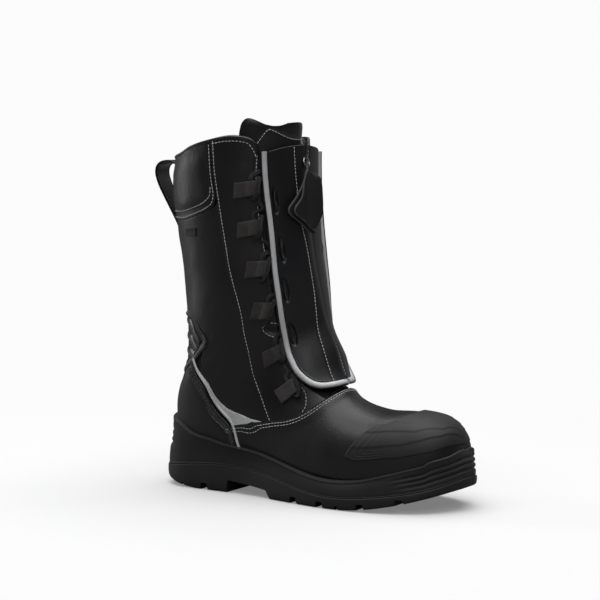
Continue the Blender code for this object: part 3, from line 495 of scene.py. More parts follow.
def sheet(name, grid, low, high, finish, body="boot", stands_for=(), edge=.8, relief=None):
    """A sheet over a grid of (u, v), with rounded edges. relief(u, v, points) adds to its outer lift."""
    u, v = grid[..., 0], grid[..., 1]
    high = high(u, v) if callable(high) else np.broadcast_to(np.asarray(high, float), u.shape)
    low = low(u, v) if callable(low) else np.broadcast_to(np.asarray(low, float), u.shape)
    flat = on_upper(u, v, high)
    near = np.clip(1 - border_distance(flat) / edge, 0, 1)
    lift = high - edge * (1 - np.sqrt(1 - near ** 2))
    if relief:
        lift = lift + relief(u, v, flat)
    outer = on_upper(u, v, np.maximum(lift, low + THINNEST))
    slab(name, outer, on_upper(u, v, low), finish, body, stands_for, flat)


def trace(points, lift, pitch=1.0):
    """(path, normals) of a (u, v) line lifted off the upper; lift is a number or a function of (u, v)."""
    count = max(2, int(length_of(points) / pitch))
    at = along(points, np.linspace(0, 1, count))
    high = lift(at[:, 0], at[:, 1]) if callable(lift) else lift
    return on_upper(at[:, 0], at[:, 1], high), normals(at[:, 0], at[:, 1])


def resample(path, normal, pitch):
    """(path, normals, run) at an even pitch."""
    run = run_of(path)
    at = np.linspace(0, run[-1], max(2, int(round(run[-1] / pitch)) + 1))
    return read_off(at, run, path), read_off(at, run, normal), at


def frames(path, normal):
    """Along, up and sideways directions at each point of a path."""
    tangent = unit(np.gradient(path, axis=0))
    up = unit(normal - tangent * (normal * tangent).sum(1, keepdims=True))
    return tangent, up, np.cross(tangent, up)


def caps(rings, count):
    """End faces of a stack of rings of count points each."""
    last = (rings - 1) * count
    return [list(range(count)), list(range(last, last + count))[::-1]]


def bar(path, normal, profile, scale=1.0):
    """(points, faces) of a bar along a path. profile is a closed ring of (sideways, up) points."""
    _, up, out = frames(path, normal)
    profile = np.asarray(profile, float)[None] * np.broadcast_to(scale, len(path))[:, None, None]
    rings = path[:, None] + out[:, None] * profile[..., :1] + up[:, None] * profile[..., 1:]
    n, m = rings.shape[:2]
    return rings.reshape(-1, 3), grid_faces(n, m, wrap=True) + caps(n, m)


def sweep(name, path, normal, profile, finish, body="boot", stands_for=(), crease=48):
    """A bar as a piece of its own."""
    points, faces = bar(path, normal, profile)
    runs = run_of(path)[:, None], run_of(np.asarray(profile, float))[None]
    uv = np.stack(np.broadcast_arrays(*runs), -1).reshape(-1, 2)
    piece(name, points, faces, finish, body, stands_for, uv, crease)


def oval(width, height, sides=12, power=2.0):
    """Closed ring of points; a power above 2 squares it off."""
    a = np.linspace(0, 2 * math.pi, sides, endpoint=False)
    shape = lambda c: np.sign(c) * np.abs(c) ** (2 / power)
    return np.stack([shape(np.cos(a)) * width / 2, shape(np.sin(a)) * height / 2], 1)


def merged(parts):
    """One (points, faces) out of several."""
    faces, count = [], 0
    for points, quads in parts:
        faces += [[k + count for k in face] for face in quads]
        count += len(points)
    return np.vstack([points for points, _ in parts]), faces


def joined(name, parts, finish, body="boot"):
    """One object out of several (points, faces)."""
    points, faces = merged(parts)
    piece(name, points, faces, finish, body, uv=points[:, [0, 2]], crease=60)


def pressed(points, runs, depth, width):
    """Depth at points of the grooves that rows of stitching press into leather."""
    return sum(depth * np.exp(-(distance_to(points, run) / width) ** 2) for run in runs)


# One stitch: shares of its length, and its width and height there in radii
STITCH_LENGTH, STITCH_GAP, STITCH_RADIUS = 2.5, .75, .36
STITCH_SHARES = np.array([0, .12, .35, .65, .88, 1])
STITCH_WIDTH = np.array([.35, .85, 1, 1, .85, .35])
STITCH_RISE = np.array([-.55, .05, .42, .42, .05, -.55])


def stitches(path, normal, radius=STITCH_RADIUS):
    """Thread capsules laid end to end along a path, each diving into the leather at both ends."""
    path, normal, run = resample(path, normal, .5)
    count = max(1, int(run[-1] / (STITCH_LENGTH + STITCH_GAP)))
    pitch = run[-1] / count
    parts = []
    ring = oval(2 * radius, 2 * radius, 6)
    for k in range(count):
        at = k * pitch + STITCH_GAP / 2 + STITCH_SHARES * (pitch - STITCH_GAP)
        up = read_off(at, run, normal)
        centre = read_off(at, run, path) + up * (STITCH_RISE * radius)[:, None]
        parts.append(bar(centre, up, ring, STITCH_WIDTH))
    return parts


# ---------------------------------------------------------------- heights of the layers over the upper
QUARTER, FACING, COLLAR = -.35, .35, .1
UNDER = -2.1                                   # underside of the outer leather
VAMP_LAP, VAMP_LAP_MM = 1.35, 14               # how high the vamp's rear edge rises, and over what length
PANEL_REST, PANEL_RIDGE = 2.6, 2.6             # lift of the zip panel by its piping, and its ridge above that
PANEL_INNER_RISE, PANEL_FOOT_CLEAR = 6.0, 2.2  # the inner half stands off more, and so does the foot
PANEL_THICK = 2.3
TONGUE_LEAN = 13                               # how far the inner side of the tongue's head leans back
VAMP_EDGE_U, VAMP_EDGE_V = np.array(VAMP_EDGE[::-1]).T


def vamp_lift(u, v):
    """The vamp laps over the quarters, so it rises towards its rear edge."""
    edge = np.interp(np.abs(v), VAMP_EDGE_V, VAMP_EDGE_U)
    return VAMP_LAP * smoothstep(1 - (edge - u) * PER_U / VAMP_LAP_MM)


def panel_lift(u, v):
    """Zip panel: flat by its piping, rising to a rounded ridge along the placket."""
    ridge = PANEL_RIDGE * smoothstep((u - 7.25) / 1.9) * smoothstep(1 - np.abs(v) * PER_V / 26)
    inner = PANEL_INNER_RISE * smoothstep((v - .02) / .14) * smoothstep((u - 7.5) / 1.4)
    return PANEL_REST + ridge + inner + PANEL_FOOT_CLEAR * smoothstep((10.4 - u) / 1.8)


# How far the outer half's placket reaches past the slit, in mm; it stays short beside the slider
PLACKET_U = [7.6, 8.9, 10.3, 11.1, 12.3, 13.4, 14.5, 15, 15.55, 15.9, 16.8]
PLACKET_MM = [1, 1.8, 4.5, 5.5, 6, 5.5, 3.7, 2.2, .4, -1.2, -1.2]


# ---------------------------------------------------------------- shaft
NOTCH = (10.86, .272)                          # middle of the small stitched hollow in the facing


def facing_relief(sign):
    """Pressed lines of the seams, the stitched notch, and soft unevenness."""
    seam = trace(side([(u, v - SEAM_INSET) for u, v in FACING_SEAM], sign), FACING)[0]
    front = trace(side([(u, v + 2.6 / PER_V) for u, v in FACING_EDGE[:8]], sign), FACING)[0]

    def relief(u, v, points):
        sideways = np.abs(v) - NOTCH[1]
        dx, dz = sideways * PER_V, (u - NOTCH[0] - sideways * 6) * PER_U
        far = np.hypot((np.minimum(dx, 0) * .2 + np.maximum(dx, 0)) / 8, dz / 4.6)
        hollow = 1.7 * smoothstep((1 - far) * 3.2)
        for u0, v0, _ in LOOPS:
            far = np.hypot((u - u0) * PER_U / 11, (np.abs(v) - v0 + .02) * PER_V / 9)
            hollow = hollow + .3 * np.exp(-far ** 2)
        hollow = hollow + pressed(points, [seam], .3, 1.1) + pressed(points, [front], .25, 1.1)
        return lumps(points, 26, .35, 3) + lumps(points, 9, .1, 5) - hollow
    return relief


def make_facings():
    for name, sign in SIDES:
        edge, top = (FACING_EDGE, COLLAR_FRONT) if sign < 0 else (INNER_EDGE, INNER_COLLAR)
        grid = coons(*(side(line, sign) for line in (FACING_SEAM, edge, top, VAMP_SEAM)), 1.6)
        sheet(f"facing_{name}_leather", grid, UNDER, FACING, "black_leather", stands_for=[f"facing_{name}"],
              edge=.7, relief=facing_relief(sign))


def make_quarters():
    for name, sign in SIDES:
        back = [(15.25, 1.0), (13.15, 1.0)] + FLEX_TOP[::-1][1:] + HEEL_LINE[1:6] + [(9.35, .522)]
        top = [(15.3, .460)] + PATCH_FOOT[1:-1] + [(15.25, 1.0)]
        foot = [(8.4, .462), (8.66, .498), (9.02, .516), (9.35, .522)]
        grid = coons(*(side(line, sign) for line in (FACING_SEAM[2:], back, top, foot)), 2.0, False)
        # The quarter runs a little way under the facing
        wide = 1 - np.linspace(0, 1, grid.shape[1])
        grid[..., 1] -= sign * .012 * (wide ** 6)[None]
        relief = lambda u, v, points: lumps(points, 34, .8, 8) + lumps(points, 12, .18, 2) - crumple(u, v)
        sheet(f"quarter_{name}_leather", grid, -2.4, QUARTER, "black_leather", stands_for=[f"quarter_{name}"],
              edge=.6, relief=relief)


def crumple(u, v):
    """Shallow creases where the ankle bends."""
    waist = np.exp(-((u - 11.2) / 1.1) ** 2)
    return waist * .35 * np.sin((u * 1.7 + np.abs(v) * 6.0) * 3.1) ** 2


def make_vamp():
    """The vamp's grid follows its scalloped rear edge, and runs on under the heel piping at both ends."""
    rows = spaced(172, 1.9)
    cols = np.concatenate([[-.80, -.70, -.62], -along(VAMP_EDGE, spaced(length_of(VAMP_EDGE), 2.2))[:, 1]])
    cols = np.concatenate([cols, -cols[::-1]])
    cols = cols[np.concatenate([[True], np.diff(cols) > 1e-4])]
    edge = np.interp(np.abs(cols), [*VAMP_EDGE_V, .58, .60, .70, .80], [*VAMP_EDGE_U, 8.66, 8.4, 8.25, 8.1])
    smooth = catmull(VAMP_EDGE[::-1], np.linspace(0, len(VAMP_EDGE) - 1, 300))
    inside = np.abs(cols) < VAMP_EDGE[0][1]
    edge[inside] = np.interp(np.abs(cols[inside]), smooth[:, 1], smooth[:, 0])
    u = .14 + (edge[None] - .14) * rows[:, None]
    grid = np.stack([u, np.broadcast_to(cols, u.shape)], -1)
    runs = [trace(across(seam_row(inset)), vamp_lift)[0] for inset in VAMP_ROWS]
    relief = lambda u, v, points: (lumps(points, 46, .6, 14) + lumps(points, 13, .08, 1)
                                   - pressed(points, runs, .32, 1.0))
    low = lambda u, v: vamp_lift(u, v) - np.clip(u * 6, .3, 2.2)
    sheet("vamp_leather", grid, low, vamp_lift, "black_leather", stands_for=["vamp"], edge=.9, relief=relief)


VAMP_ROWS = (1.7, 4.0)                         # two rows of stitching, in mm from the vamp's edge
SEAM_INSET = 1.9 / PER_V


def seam_row(inset):
    """The vamp's edge, moved inset mm forward and down into the vamp."""
    points = np.array(VAMP_EDGE, float) * (PER_U, PER_V)
    out = left_of(points)
    moved = points - out * np.where(out[:, :1] > 0, inset, -inset)
    moved[-1, 1] = 0
    return [tuple(p) for p in moved / (PER_U, PER_V)]


PATCH_ROWS = [
    [(17.1, .500), (16.5, .491), (15.9, .481), (15.45, .474), (15.21, .487), (15.13, .52), (15.11, .56),
     (15.13, .66), (15.26, .78), (15.37, 1.0)],
    [(15.7, .486), (15.44, .492), (15.32, .520), (15.28, .56), (15.29, .66), (15.41, .78), (15.52, 1.0)],
]


def both(line):
    """A line on one side, and its mirror image beyond the back."""
    return line, [(u, 2 - v) for u, v in line]


def make_collar():
    front = [(17.2, .497), (16.3, .483), (15.35, .464)]
    grid = coons(around(COLLAR_BACK), around(PATCH_FOOT), *both(front), 2.2)
    runs = [trace(around(row), .3)[0] for row in PATCH_ROWS]

    def relief(u, v, points):
        inner = smoothstep((border_distance(points) - 5) / 12)
        fine = .1 * np.sin(points[..., 2] * 3.1 + lumps(points, 12, 2.0, 4))
        padding = 1.1 + lumps(points, 20, .5, 21) + fine
        return padding * inner - pressed(points, runs, .55, 1.3)
    sheet("collar_patch_leather", grid, UNDER, COLLAR, "soft_leather", stands_for=["collar_patch"], edge=1.0,
          relief=relief)
    # Rolled top edge, from one front corner round the back to the other
    top = [(16.45, .262), (16.85, .272), (17.13, .310), (17.25, .37), (17.28, .42), (17.22, .492),
           (17.09, .607), (16.94, .70), (16.9, .85), (16.9, 1.0)]
    path, normal = trace(around(top), -2.0, 2.0)
    sweep("collar_roll", path, normal, oval(3.6, 5.6, 14), "glossy_leather", crease=80)


# Padded rolls that run round the Achilles panel, from one side to the other
FLEX_RIBS = [
    [(12.02, .626), (12.3, .666), (12.72, .73), (12.95, .85), (13.0, 1.0)],
    [(11.90, .640), (12.05, .668), (12.38, .73), (12.6, .85), (12.66, 1.0)],
    [(11.84, .668), (11.93, .692), (12.1, .745), (12.27, .85), (12.32, 1.0)],
    [(11.84, .745), (11.90, .79), (11.97, .86), (12.0, 1.0)],
]


ROLL_LIFT, ROLL_SIZE = -1.2, (8.0, 3.2)


def rungs(path, normal, pitch, half, bow, slant, size):
    """Threads lying across a path, half wide on each side, bowed up in the middle."""
    path, normal, _ = resample(path, normal, pitch)
    reach = np.linspace(-half, half, 6)[:, None]
    rise = bow[0] - (reach / half) ** 2 * bow[1]
    parts = []
    for point, along_path, up, out in zip(path, *frames(path, normal)):
        line = point + out * reach + up * rise + along_path * (slant * reach / half)
        parts.append(bar(line, np.tile(up, (6, 1)), oval(*size, 5)))
    return parts


def make_achilles():
    """Ribbed flex panel over the heel cord, with a thick overlocked edge."""
    corner = [(11.95, .585), (11.9, .588), (11.85, .592)]
    grid = coons(around(FLEX_TOP), around(FLEX_FOOT), *both(corner), 1.2)
    relief = lambda u, v, points: -.9 * smoothstep((border_distance(points) - 1.6) / 2.0)
    sheet("achilles_flex_ribs", grid, -1.6, .2, "matte_leather", stands_for=["achilles_flex_panel"], edge=.8,
          relief=relief)
    rolls = [bar(*trace(around(line), ROLL_LIFT, 1.5), oval(*ROLL_SIZE, 12)) for line in FLEX_RIBS]
    # the rolls' lighter leather is a painted sheen standing in for the highlights along the ribs
    joined("achilles_flex_rolls", rolls, "rolled_leather_sheen")
    ring = around(FLEX_TOP) + [(11.9, 1.412)] + around(FLEX_FOOT)[::-1]
    path, normal = trace(ring, -.15, 1.5)
    sweep("achilles_flex_binding", path, normal, oval(2.6, 1.8, 10), "glossy_leather", crease=80)
    joined("achilles_overlock", rungs(path, normal, 1.6, 2.1, (1.15, 1.1), .378, (.7, .6)), "grey_thread")


COUNTER_SIDE = [(11.66, .66), (11.2, .606), (10.74, .560), (10.3, .537), (9.9, .526), (9.5, .527),
                (9.2, .538), (8.9, .566), (8.62, .62), (8.5, .705)]
REFLECTOR_TOP = [(11.6, .642), (11.2, .588), (10.76, .543), (10.41, .523), (10.04, .5085), (9.8, .504),
                 (9.58, .5015), (9.35, .5003), (9.14, .4995), (8.98, .496), (8.84, .490), (8.62, .477)]
REFLECTOR_FOOT = [(11.58, .646), (11.16, .594), (10.72, .550), (10.3, .530), (9.87, .519), (9.5, .520),
                  (9.3, .524), (9.2, .5235), (9.06, .512), (8.92, .504), (8.76, .495), (8.61, .478)]
BEADS_BACK, LADDER_BACK = (2.5, 6.3), 4.4      # beads and ladder of thread, in mm behind the piping


def make_heel():
    """Rubber counter, the bead and ladder strip in front of it, silver piping and triangle."""
    grid = coons(around([(11.66, .66), (11.68, .75), (11.72, 1.0)]),
                 around([(8.5, .705), (9.1, .80), (9.7, .9), (9.9, 1.0)]), *both(COUNTER_SIDE), 2.4)
    relief = lambda u, v, points: (lumps(points, 40, .5, 31)
                                   + .8 * smoothstep((border_distance(points) - 3) / 9))
    sheet("heel_counter_rubber", grid, UNDER, COLLAR, "counter_rubber", stands_for=["heel_counter"], edge=1.0,
          relief=relief)
    for name, sign in SIDES:
        line = side(HEEL_LINE[:-2] + [(8.56, .612)], sign)
        path, normal = trace(line, 1.1, 1.2)
        sweep(f"heel_piping_{name}_tube", path, normal, oval(2.5, 2.2, 10), "reflective_silver", crease=80,
              stands_for=[f"heel_piping_{name}"])
        beads = [bar(*trace(shifted(line, back, sign), .9, 1.2), oval(2.2, 2.2, 8)) for back in BEADS_BACK]
        joined(f"heel_beads_{name}", beads, "glossy_leather")
        middle = trace(shifted(line, LADDER_BACK, sign), 1.0, .5)
        joined(f"heel_ladder_{name}", rungs(*middle, 1.75, 2.2, (.45, .35), .35, (.62, .5)), "grey_thread")
        upper, lower = side(REFLECTOR_TOP, sign), side(REFLECTOR_FOOT, sign)
        grid = ruled(upper, lower, spaced(max(length_of(upper), length_of(lower)), 2.0), spaced(14, 2))
        relief = lambda u, v, points: lumps(points, 12, .12, 40)
        sheet(f"heel_reflector_{name}_tape", grid, -.3, .75, "reflective_silver", edge=.35,
              stands_for=[f"heel_reflector_{name}"], relief=relief)


def shifted(line, back, sign):
    """A (u, v) line moved back mm towards the heel."""
    points = smooth_line(line) * (PER_U, PER_V)
    out = left_of(points)
    out *= sign * np.sign(out[:, 1].mean())
    return ((points + out * back) / (PER_U, PER_V))[::12]


# ---------------------------------------------------------------- tongue and lining
TONGUE_WAVE = [(16.67, .275), (16.95, .265), (17.13, .250), (17.46, .214), (17.40, .178), (17.25, .139),
               (17.06, .07), (17.02, 0.0)]
TONGUE_TOP = [(17.45, .362), (17.78, .356), (17.92, .345), (17.98, .32), (17.86, .28), (17.68, .232),
              (17.6, .187), (17.6, .145), (17.72, .085), (17.76, .0)]
HEAD_WIDE = .362                               # v at the sides of the tongue's head
GUSSET_FOOT, FRONT_FOOT = 7.3, 15.9            # u at the foot of the gusset and of the leather under the head


def tongue_edge(points, sign):
    """(v, u) of a tongue line, from points given for the outer side; the inner side is a little lower."""
    u, v = np.array(sorted(points, key=lambda p: p[1])).T
    return v, u - (.12 * smoothstep(v / .1) if sign > 0 else 0)


def tongue_lean(u, v):
    """The inner half of the tongue's head leans back into the boot, in mm."""
    return TONGUE_LEAN * smoothstep(v / .2) * smoothstep((u - 15.6) / 1.2)


def leaning(lift):
    """A lift that follows the lean of the tongue's head."""
    return lambda u, v: lift - tongue_lean(u, v)


def make_tongue():
    """A flat gusset below and behind, and a padded head above the wavy seam."""
    across_rows = spaced(124, 2.6) * 2 - 1
    v = HEAD_WIDE * across_rows
    outer_v, outer_u = tongue_edge(TONGUE_TOP, -1)
    _, inner_u = tongue_edge(TONGUE_TOP, 1)
    top = np.where(v < 0, np.interp(-v, outer_v, outer_u), np.interp(v, outer_v, inner_u))
    seam_v, seam_u = tongue_edge(TONGUE_WAVE + [(16.62, .30), (16.6, .362)], -1)
    seam = np.interp(np.abs(v), seam_v, seam_u)
    u = GUSSET_FOOT + (top[None] - .1 - GUSSET_FOOT) * spaced(262, 3.0)[:, None]
    wide = np.interp(u, [GUSSET_FOOT, 8, 9, 10, 16.2, 16.8], [.22, .25, .28, .30, .33, HEAD_WIDE])
    grid = np.stack([u, wide * across_rows[None]], -1)
    sheet("tongue_gusset", grid, leaning(-5.2), leaning(-4.0), "matte_leather", stands_for=["tongue"],
          edge=.5, relief=lambda u, v, points: lumps(points, 18, .6, 50))
    rows = spaced(30, 2.6)[:, None]
    grid = np.stack([seam[None] + (top - seam)[None] * rows, np.broadcast_to(v, (len(rows), len(v)))], -1)
    lean = tongue_lean(grid[..., 0], grid[..., 1])
    padded("tongue_pad", grid, -4.2 - lean, -2.2 - lean, "glossy_leather")
    rows = spaced(34, 2.6)[:, None]
    grid = np.stack([FRONT_FOOT + (seam[None] + .03 - FRONT_FOOT) * rows,
                     np.broadcast_to(v, (len(rows), len(v)))], -1)
    sheet("tongue_front", grid, leaning(-3.9), leaning(-2.9), "matte_leather", edge=.5,
          relief=lambda u, v, points: lumps(points, 14, .4, 52))


PAD_PRESSURE, PAD_SWELL = 4.0, 5.0             # cloth pressure, and the farthest that a point may move
PAD_RIM, PAD_RIM_HALF = 3.0, .35               # width of the sewn rim, and half its thickness


def padded(name, grid, low, high, finish):
    """A closed pouch over a grid, swollen by cloth simulation with its rim held, then smoothed once."""
    u, v = grid[..., 0], grid[..., 1]
    near = np.clip(border_distance(on_upper(u, v, high)) / PAD_RIM, 0, 1)
    middle = (low + high) / 2
    outer = on_upper(u, v, middle + PAD_RIM_HALF + (high - middle - PAD_RIM_HALF) * near)
    inner = on_upper(u, v, middle - PAD_RIM_HALF + (low - middle + PAD_RIM_HALF) * near)
    obj = slab(name, outer, inner, finish, crease=80)
    rim = np.where(near.ravel() < .05)[0]
    swell(obj, rim.tolist() + (rim + u.size).tolist())
    smooth = obj.modifiers.new("smooth", "SUBSURF")
    smooth.levels = smooth.render_levels = 1


def swell(obj, held):
    """Cloth under pressure, gravity off, held points fixed; no point moves more than PAD_SWELL mm."""
    before = np.array([v.co for v in obj.data.vertices])
    group = obj.vertex_groups.new(name="held")
    group.add(held, 1.0, "REPLACE")
    cloth = obj.modifiers.new("cloth", "CLOTH")
    settings = cloth.settings
    settings.quality = 6
    settings.mass = .3
    settings.tension_stiffness = settings.compression_stiffness = 18
    settings.bending_stiffness = .6
    settings.use_pressure = True
    settings.uniform_pressure_force = PAD_PRESSURE
    settings.effector_weights.gravity = 0
    settings.vertex_group_mass = "held"
    cloth.collision_settings.use_collision = False
    scene = bpy.context.scene
    for step in range(1, 21):
        scene.frame_set(step)
    graph = bpy.context.evaluated_depsgraph_get()
    result = obj.evaluated_get(graph)
    after = np.array([v.co for v in result.data.vertices])
    obj.modifiers.remove(cloth)
    move = after - before
    far = np.linalg.norm(move, axis=1, keepdims=True)
    limit = PAD_SWELL * UNIT
    move *= np.where(far > limit, limit / np.maximum(far, 1e-9), 1)
    obj.data.vertices.foreach_set("co", (before + move).astype(np.float32).ravel())
    obj.data.update()
    scene.frame_set(1)


SOCK_TOE = 1.4                                 # u at the bootie's toe
SOCK_OUT, SOCK_IN = -5.6, -7.2                 # lifts of its two faces


def make_lining():
    """The bootie: a knitted sock that thickens into a soft collar just under the rolled edge."""
    v = np.linspace(-1, 1, 121)[:-1]
    top = np.interp(np.abs(v), [0, .2, .262, .31, .37, .42, .492, .607, .70, 1],
                    [16.3, 16.3, 16.5, 17.0, 17.14, 17.17, 17.11, 16.99, 16.83, 16.8])
    share = np.concatenate([np.linspace(0, .9, 46), np.linspace(.91, 1, 12)])[:, None]
    u = SOCK_TOE + (top[None] - SOCK_TOE) * share
    v = np.broadcast_to(v, u.shape)
    behind = smoothstep((np.abs(v) - .26) / .05)       # 0 under the tongue, where the collar isn't padded
    outer = on_upper(u, v, SOCK_OUT + 2.4 * smoothstep((share - .9) / .1) * behind)
    padding = 4.0 * np.exp(-((share - .955) / .03) ** 2) * behind
    closing = 3.2 * smoothstep((share - .975) / .025) * behind
    inner = on_upper(u, v, SOCK_IN - padding - lumps(outer, 16, .9, 60) * .6 + closing)
    nu, nv = u.shape
    size = nu * nv
    rim = size - nv
    faces = grid_faces(nu, nv, wrap=True) + grid_faces(nu, nv, size, True, True)
    faces += [[rim + j, rim + (j + 1) % nv, rim + (j + 1) % nv + size, rim + j + size] for j in range(nv)]
    faces += [list(range(nv)), list(range(size, size + nv))[::-1]]
    points = np.vstack([outer.reshape(-1, 3), inner.reshape(-1, 3)])
    uv = np.tile(metric_uv(outer).reshape(-1, 2), (2, 1))
    piece("lining_sock", points, faces, "lining_textile", stands_for=["lining_bootie"], uv=uv)


# ---------------------------------------------------------------- zip panel
PLACKET_ROWS = [16.80, 16.3, 15.9, 15.55, 15, 14.5, 13.4, 12.3, 11.1, 10.3, 9.4, 8.9, 8.2, 7.4]
PANEL_STITCHES = {
    "lateral": [(16.73, .075), (15.35, .059), (13.99, .043), (13.0, .024), (11.7, .027), (10.83, .045),
                (9.93, .070), (8.62, .088), (7.62, .100)],
    "medial": [(16.6, .035), (14, .030), (11, .030), (9.0, .030), (7.7, .028)],
}
INNER_GAP_MM = 1.4                             # the inner half stops this far short of the slit


def make_panels():
    for name, sign in SIDES:
        if sign < 0:
            reach = np.interp(PLACKET_ROWS, PLACKET_U, PLACKET_MM)
            lift = panel_lift
        else:
            reach = [-INNER_GAP_MM] * len(PLACKET_ROWS)
            lift = lambda u, v: panel_lift(u, v) - 1.3 * smoothstep(1 - np.abs(v) * PER_V / 12)
        edge = [(u, -mm / PER_V) for u, mm in zip(PLACKET_ROWS, reach)]
        narrow = PANEL_NARROW[name]
        inner = [(u - .03, v * narrow - 2.6 / PER_V) for u, v in PANEL_SIDE]
        foot = [inner[-1]] + [(u + .11, v * narrow - 1.6 / PER_V) for u, v in PANEL_FOOT[1:-1]]
        foot.append((PANEL_FOOT[-1][0] + .12, edge[-1][1]))
        edge[-1] = foot[-1]
        head = [inner[0], (16.72, .12), edge[0]]
        grid = coons(*(side(line, sign) for line in (inner, edge, head, foot)), 1.25)
        seam = trace(side(PANEL_STITCHES[name], sign), panel_lift)[0]

        def relief(u, v, points, seam=seam):
            hollow = pressed(points, [seam], .4, 1.1)
            for u0, v0 in SLOTS:
                far = np.hypot((u - u0) * PER_U / 12.5, (np.abs(v) - v0) * PER_V / 3.6)
                hollow = hollow + 2.1 * smoothstep((1 - far) * 3.0)
            ridge = .5 * smoothstep(1 - (np.abs(v) * PER_V - 2) / 7)
            return lumps(points, 30, .45, 70) + ridge - hollow
        sheet(f"zip_panel_{name}_leather", grid, lambda u, v, lift=lift: lift(u, v) - PANEL_THICK, lift,
              "black_leather", f"zip_flap_{name}", [f"zip_panel_{name}"], relief=relief)


PIPING = [(-2.6, -1.4), (-2.6, .2), (-2.1, .9), (-1.1, 1.35), (0, 1.5), (1.1, 1.35), (2.1, .9), (2.6, .2),
          (2.6, -1.4)]


def turned(up, out, angle):
    """The up directions of a path, turned about it towards out."""
    return up * np.cos(angle) + out * np.sin(angle)


def make_panel_piping():
    for name, sign in SIDES:
        edge = [(u, v * PANEL_NARROW[name]) for u, v in PANEL_SIDE + PANEL_FOOT[1:-1]]
        edge.append((PANEL_FOOT[-1][0], .0035 if sign < 0 else .009))
        path, normal = trace(side(edge, sign), lambda u, v: panel_lift(u, v) - .7, 1.5)
        if sign > 0:    # the inner piping is tilted, so that its face shows from the outer side
            _, up, out = frames(path, normal)
            turn = -np.sign(out[:, 1:2]) * math.radians(55) * smoothstep(np.abs(out[:, 1:2]))
            normal = turned(up, out, turn)
            path = path + up * 1.2
        sweep(f"panel_piping_{name}_tape", path, normal, PIPING, "reflective_silver", f"zip_flap_{name}",
              [f"panel_piping_{name}"], crease=60)
        _, up, out = frames(path, normal)
        binding = [bar(path + out * (shift * sign) - up * .1, up, oval(1.9, 2.2, 8)) for shift in (3.6, -3.0)]
        joined(f"panel_binding_{name}", binding, "glossy_leather", f"zip_flap_{name}")


# ---------------------------------------------------------------- webbing loops and laces
def tab_point(centre, forward, up):
    """(u, v) of a point given in mm forward and up from a loop's centre, along the loop's own turned axes."""
    u0, v0, turn = centre
    per_u = np.linalg.norm(on_upper(u0 + .05, v0) - on_upper(u0 - .05, v0)) / .1
    per_v = np.linalg.norm(on_upper(u0, v0 + .005) - on_upper(u0, v0 - .005)) / .01
    c, s = math.cos(math.radians(turn)), math.sin(math.radians(turn))
    return u0 + (up * c - forward * s) / per_u, v0 - (forward * c + up * s) / per_v


# A loop seen from above: mm forward of its centre and off the upper, from its sewn end round its eye and back
LOOP_PATH = [(-9.6, .9), (-7, 1.3), (-2, 1.45), (2.5, 1.9), (5.5, 3.6), (8.5, 4.4), (11.6, 4.1), (13.2, 2.8),
             (12.5, 1.3), (9.8, .75), (6.0, .75), (3.5, .85)]
LOOP_ACROSS = np.array([-7.0, -6.7, -6.1, -4.5, -2.2, 0, 2.2, 4.5, 6.1, 6.7, 7.0])
LOOP_THICK = np.array([.12, .38, .55, .6, .6, .6, .6, .6, .55, .38, .12])


def make_loops():
    """Folded webbing tabs, each with an eye at its front and a slightly different lean."""
    middle = catmull(LOOP_PATH, np.linspace(0, len(LOOP_PATH) - 1, 45))
    out = left_of(middle)
    for name, sign in SIDES:
        for number, centre in enumerate(LOOPS, 1):
            layers = []
            for face in (1, -1):
                forward = middle[:, None, 0] + out[:, None, 0] * LOOP_THICK * face
                lift = middle[:, None, 1] + out[:, None, 1] * LOOP_THICK * face
                up = LOOP_ACROSS + .25 * math.sin(number * 2.1) * smoothstep(forward / 12)
                u, v = tab_point(centre, forward * .9, up)
                layers.append(on_upper(u, sign * v, np.maximum(lift, FACING + .03)))
            slab(f"lace_loop_{name}_{number}_webbing", *layers, "webbing",
                 stands_for=[f"lace_loop_{name}_{number}"], uv_grid=layers[0])


# The lace about one loop: mm forward, up and off the upper
LACE_PATH = [(15, 16, .5), (8.0, 13.0, 1.8), (6.2, 9.0, 2.4), (8.2, 3, 2.2), (8.2, -3, 2.2), (7.8, -8.5, 2.4),
             (10.5, -10, 3.4), (13.4, -4, 4.2), (13.6, 3, 4.0), (14.6, 9, 1.6), (15, -13, .5)]


def make_laces():
    """A flat lace from eye to eye, dipping under the panel's edge between them."""
    for name, sign in SIDES:
        path = []
        for k, centre in enumerate(LOOPS):
            path += [(*tab_point(centre, forward, up), lift) for forward, up, lift in LACE_PATH]
            if k < len(LOOPS) - 1:
                (u1, v1, _), (u2, v2, _) = LOOPS[k:k + 2]
                path.append(((u1 + u2) / 2, (v1 + v2) / 2 - 15 / PER_V, .6))
        path = catmull(path, np.linspace(0, len(path) - 1, 14 * len(path)))
        points = on_upper(path[:, 0], sign * path[:, 1], path[:, 2])
        _, up, out = frames(points, normals(path[:, 0], sign * path[:, 1]))
        turn = np.radians(38 * np.sin(np.linspace(0, 26, len(points))))[:, None]
        sweep(f"lace_{name}_flat", points, turned(up, out, turn), oval(4.2, 1.5, 10, 2.6), "lace",
              stands_for=[f"lace_{name}"], crease=70)
        reach = np.linspace(-1, 1, 30)
        for number, (u0, v0) in enumerate(SLOTS, 1):
            points = on_upper(u0 + reach * .36, sign * (v0 + .003 * np.sin(reach * 3 + number)),
                              panel_lift(u0, sign * v0) - .9 - .9 * reach ** 4)
            _, up, out = frames(points, normals(np.full(30, u0), np.full(30, sign * v0)))
            turn = np.radians(70 * np.sin(reach * 2.4 + number))[:, None]
            sweep(f"slot_lace_{name}_{number}", points, turned(up, out, turn), oval(2.6, 1.1, 8, 2.6), "lace",
                  f"zip_flap_{name}", crease=70)


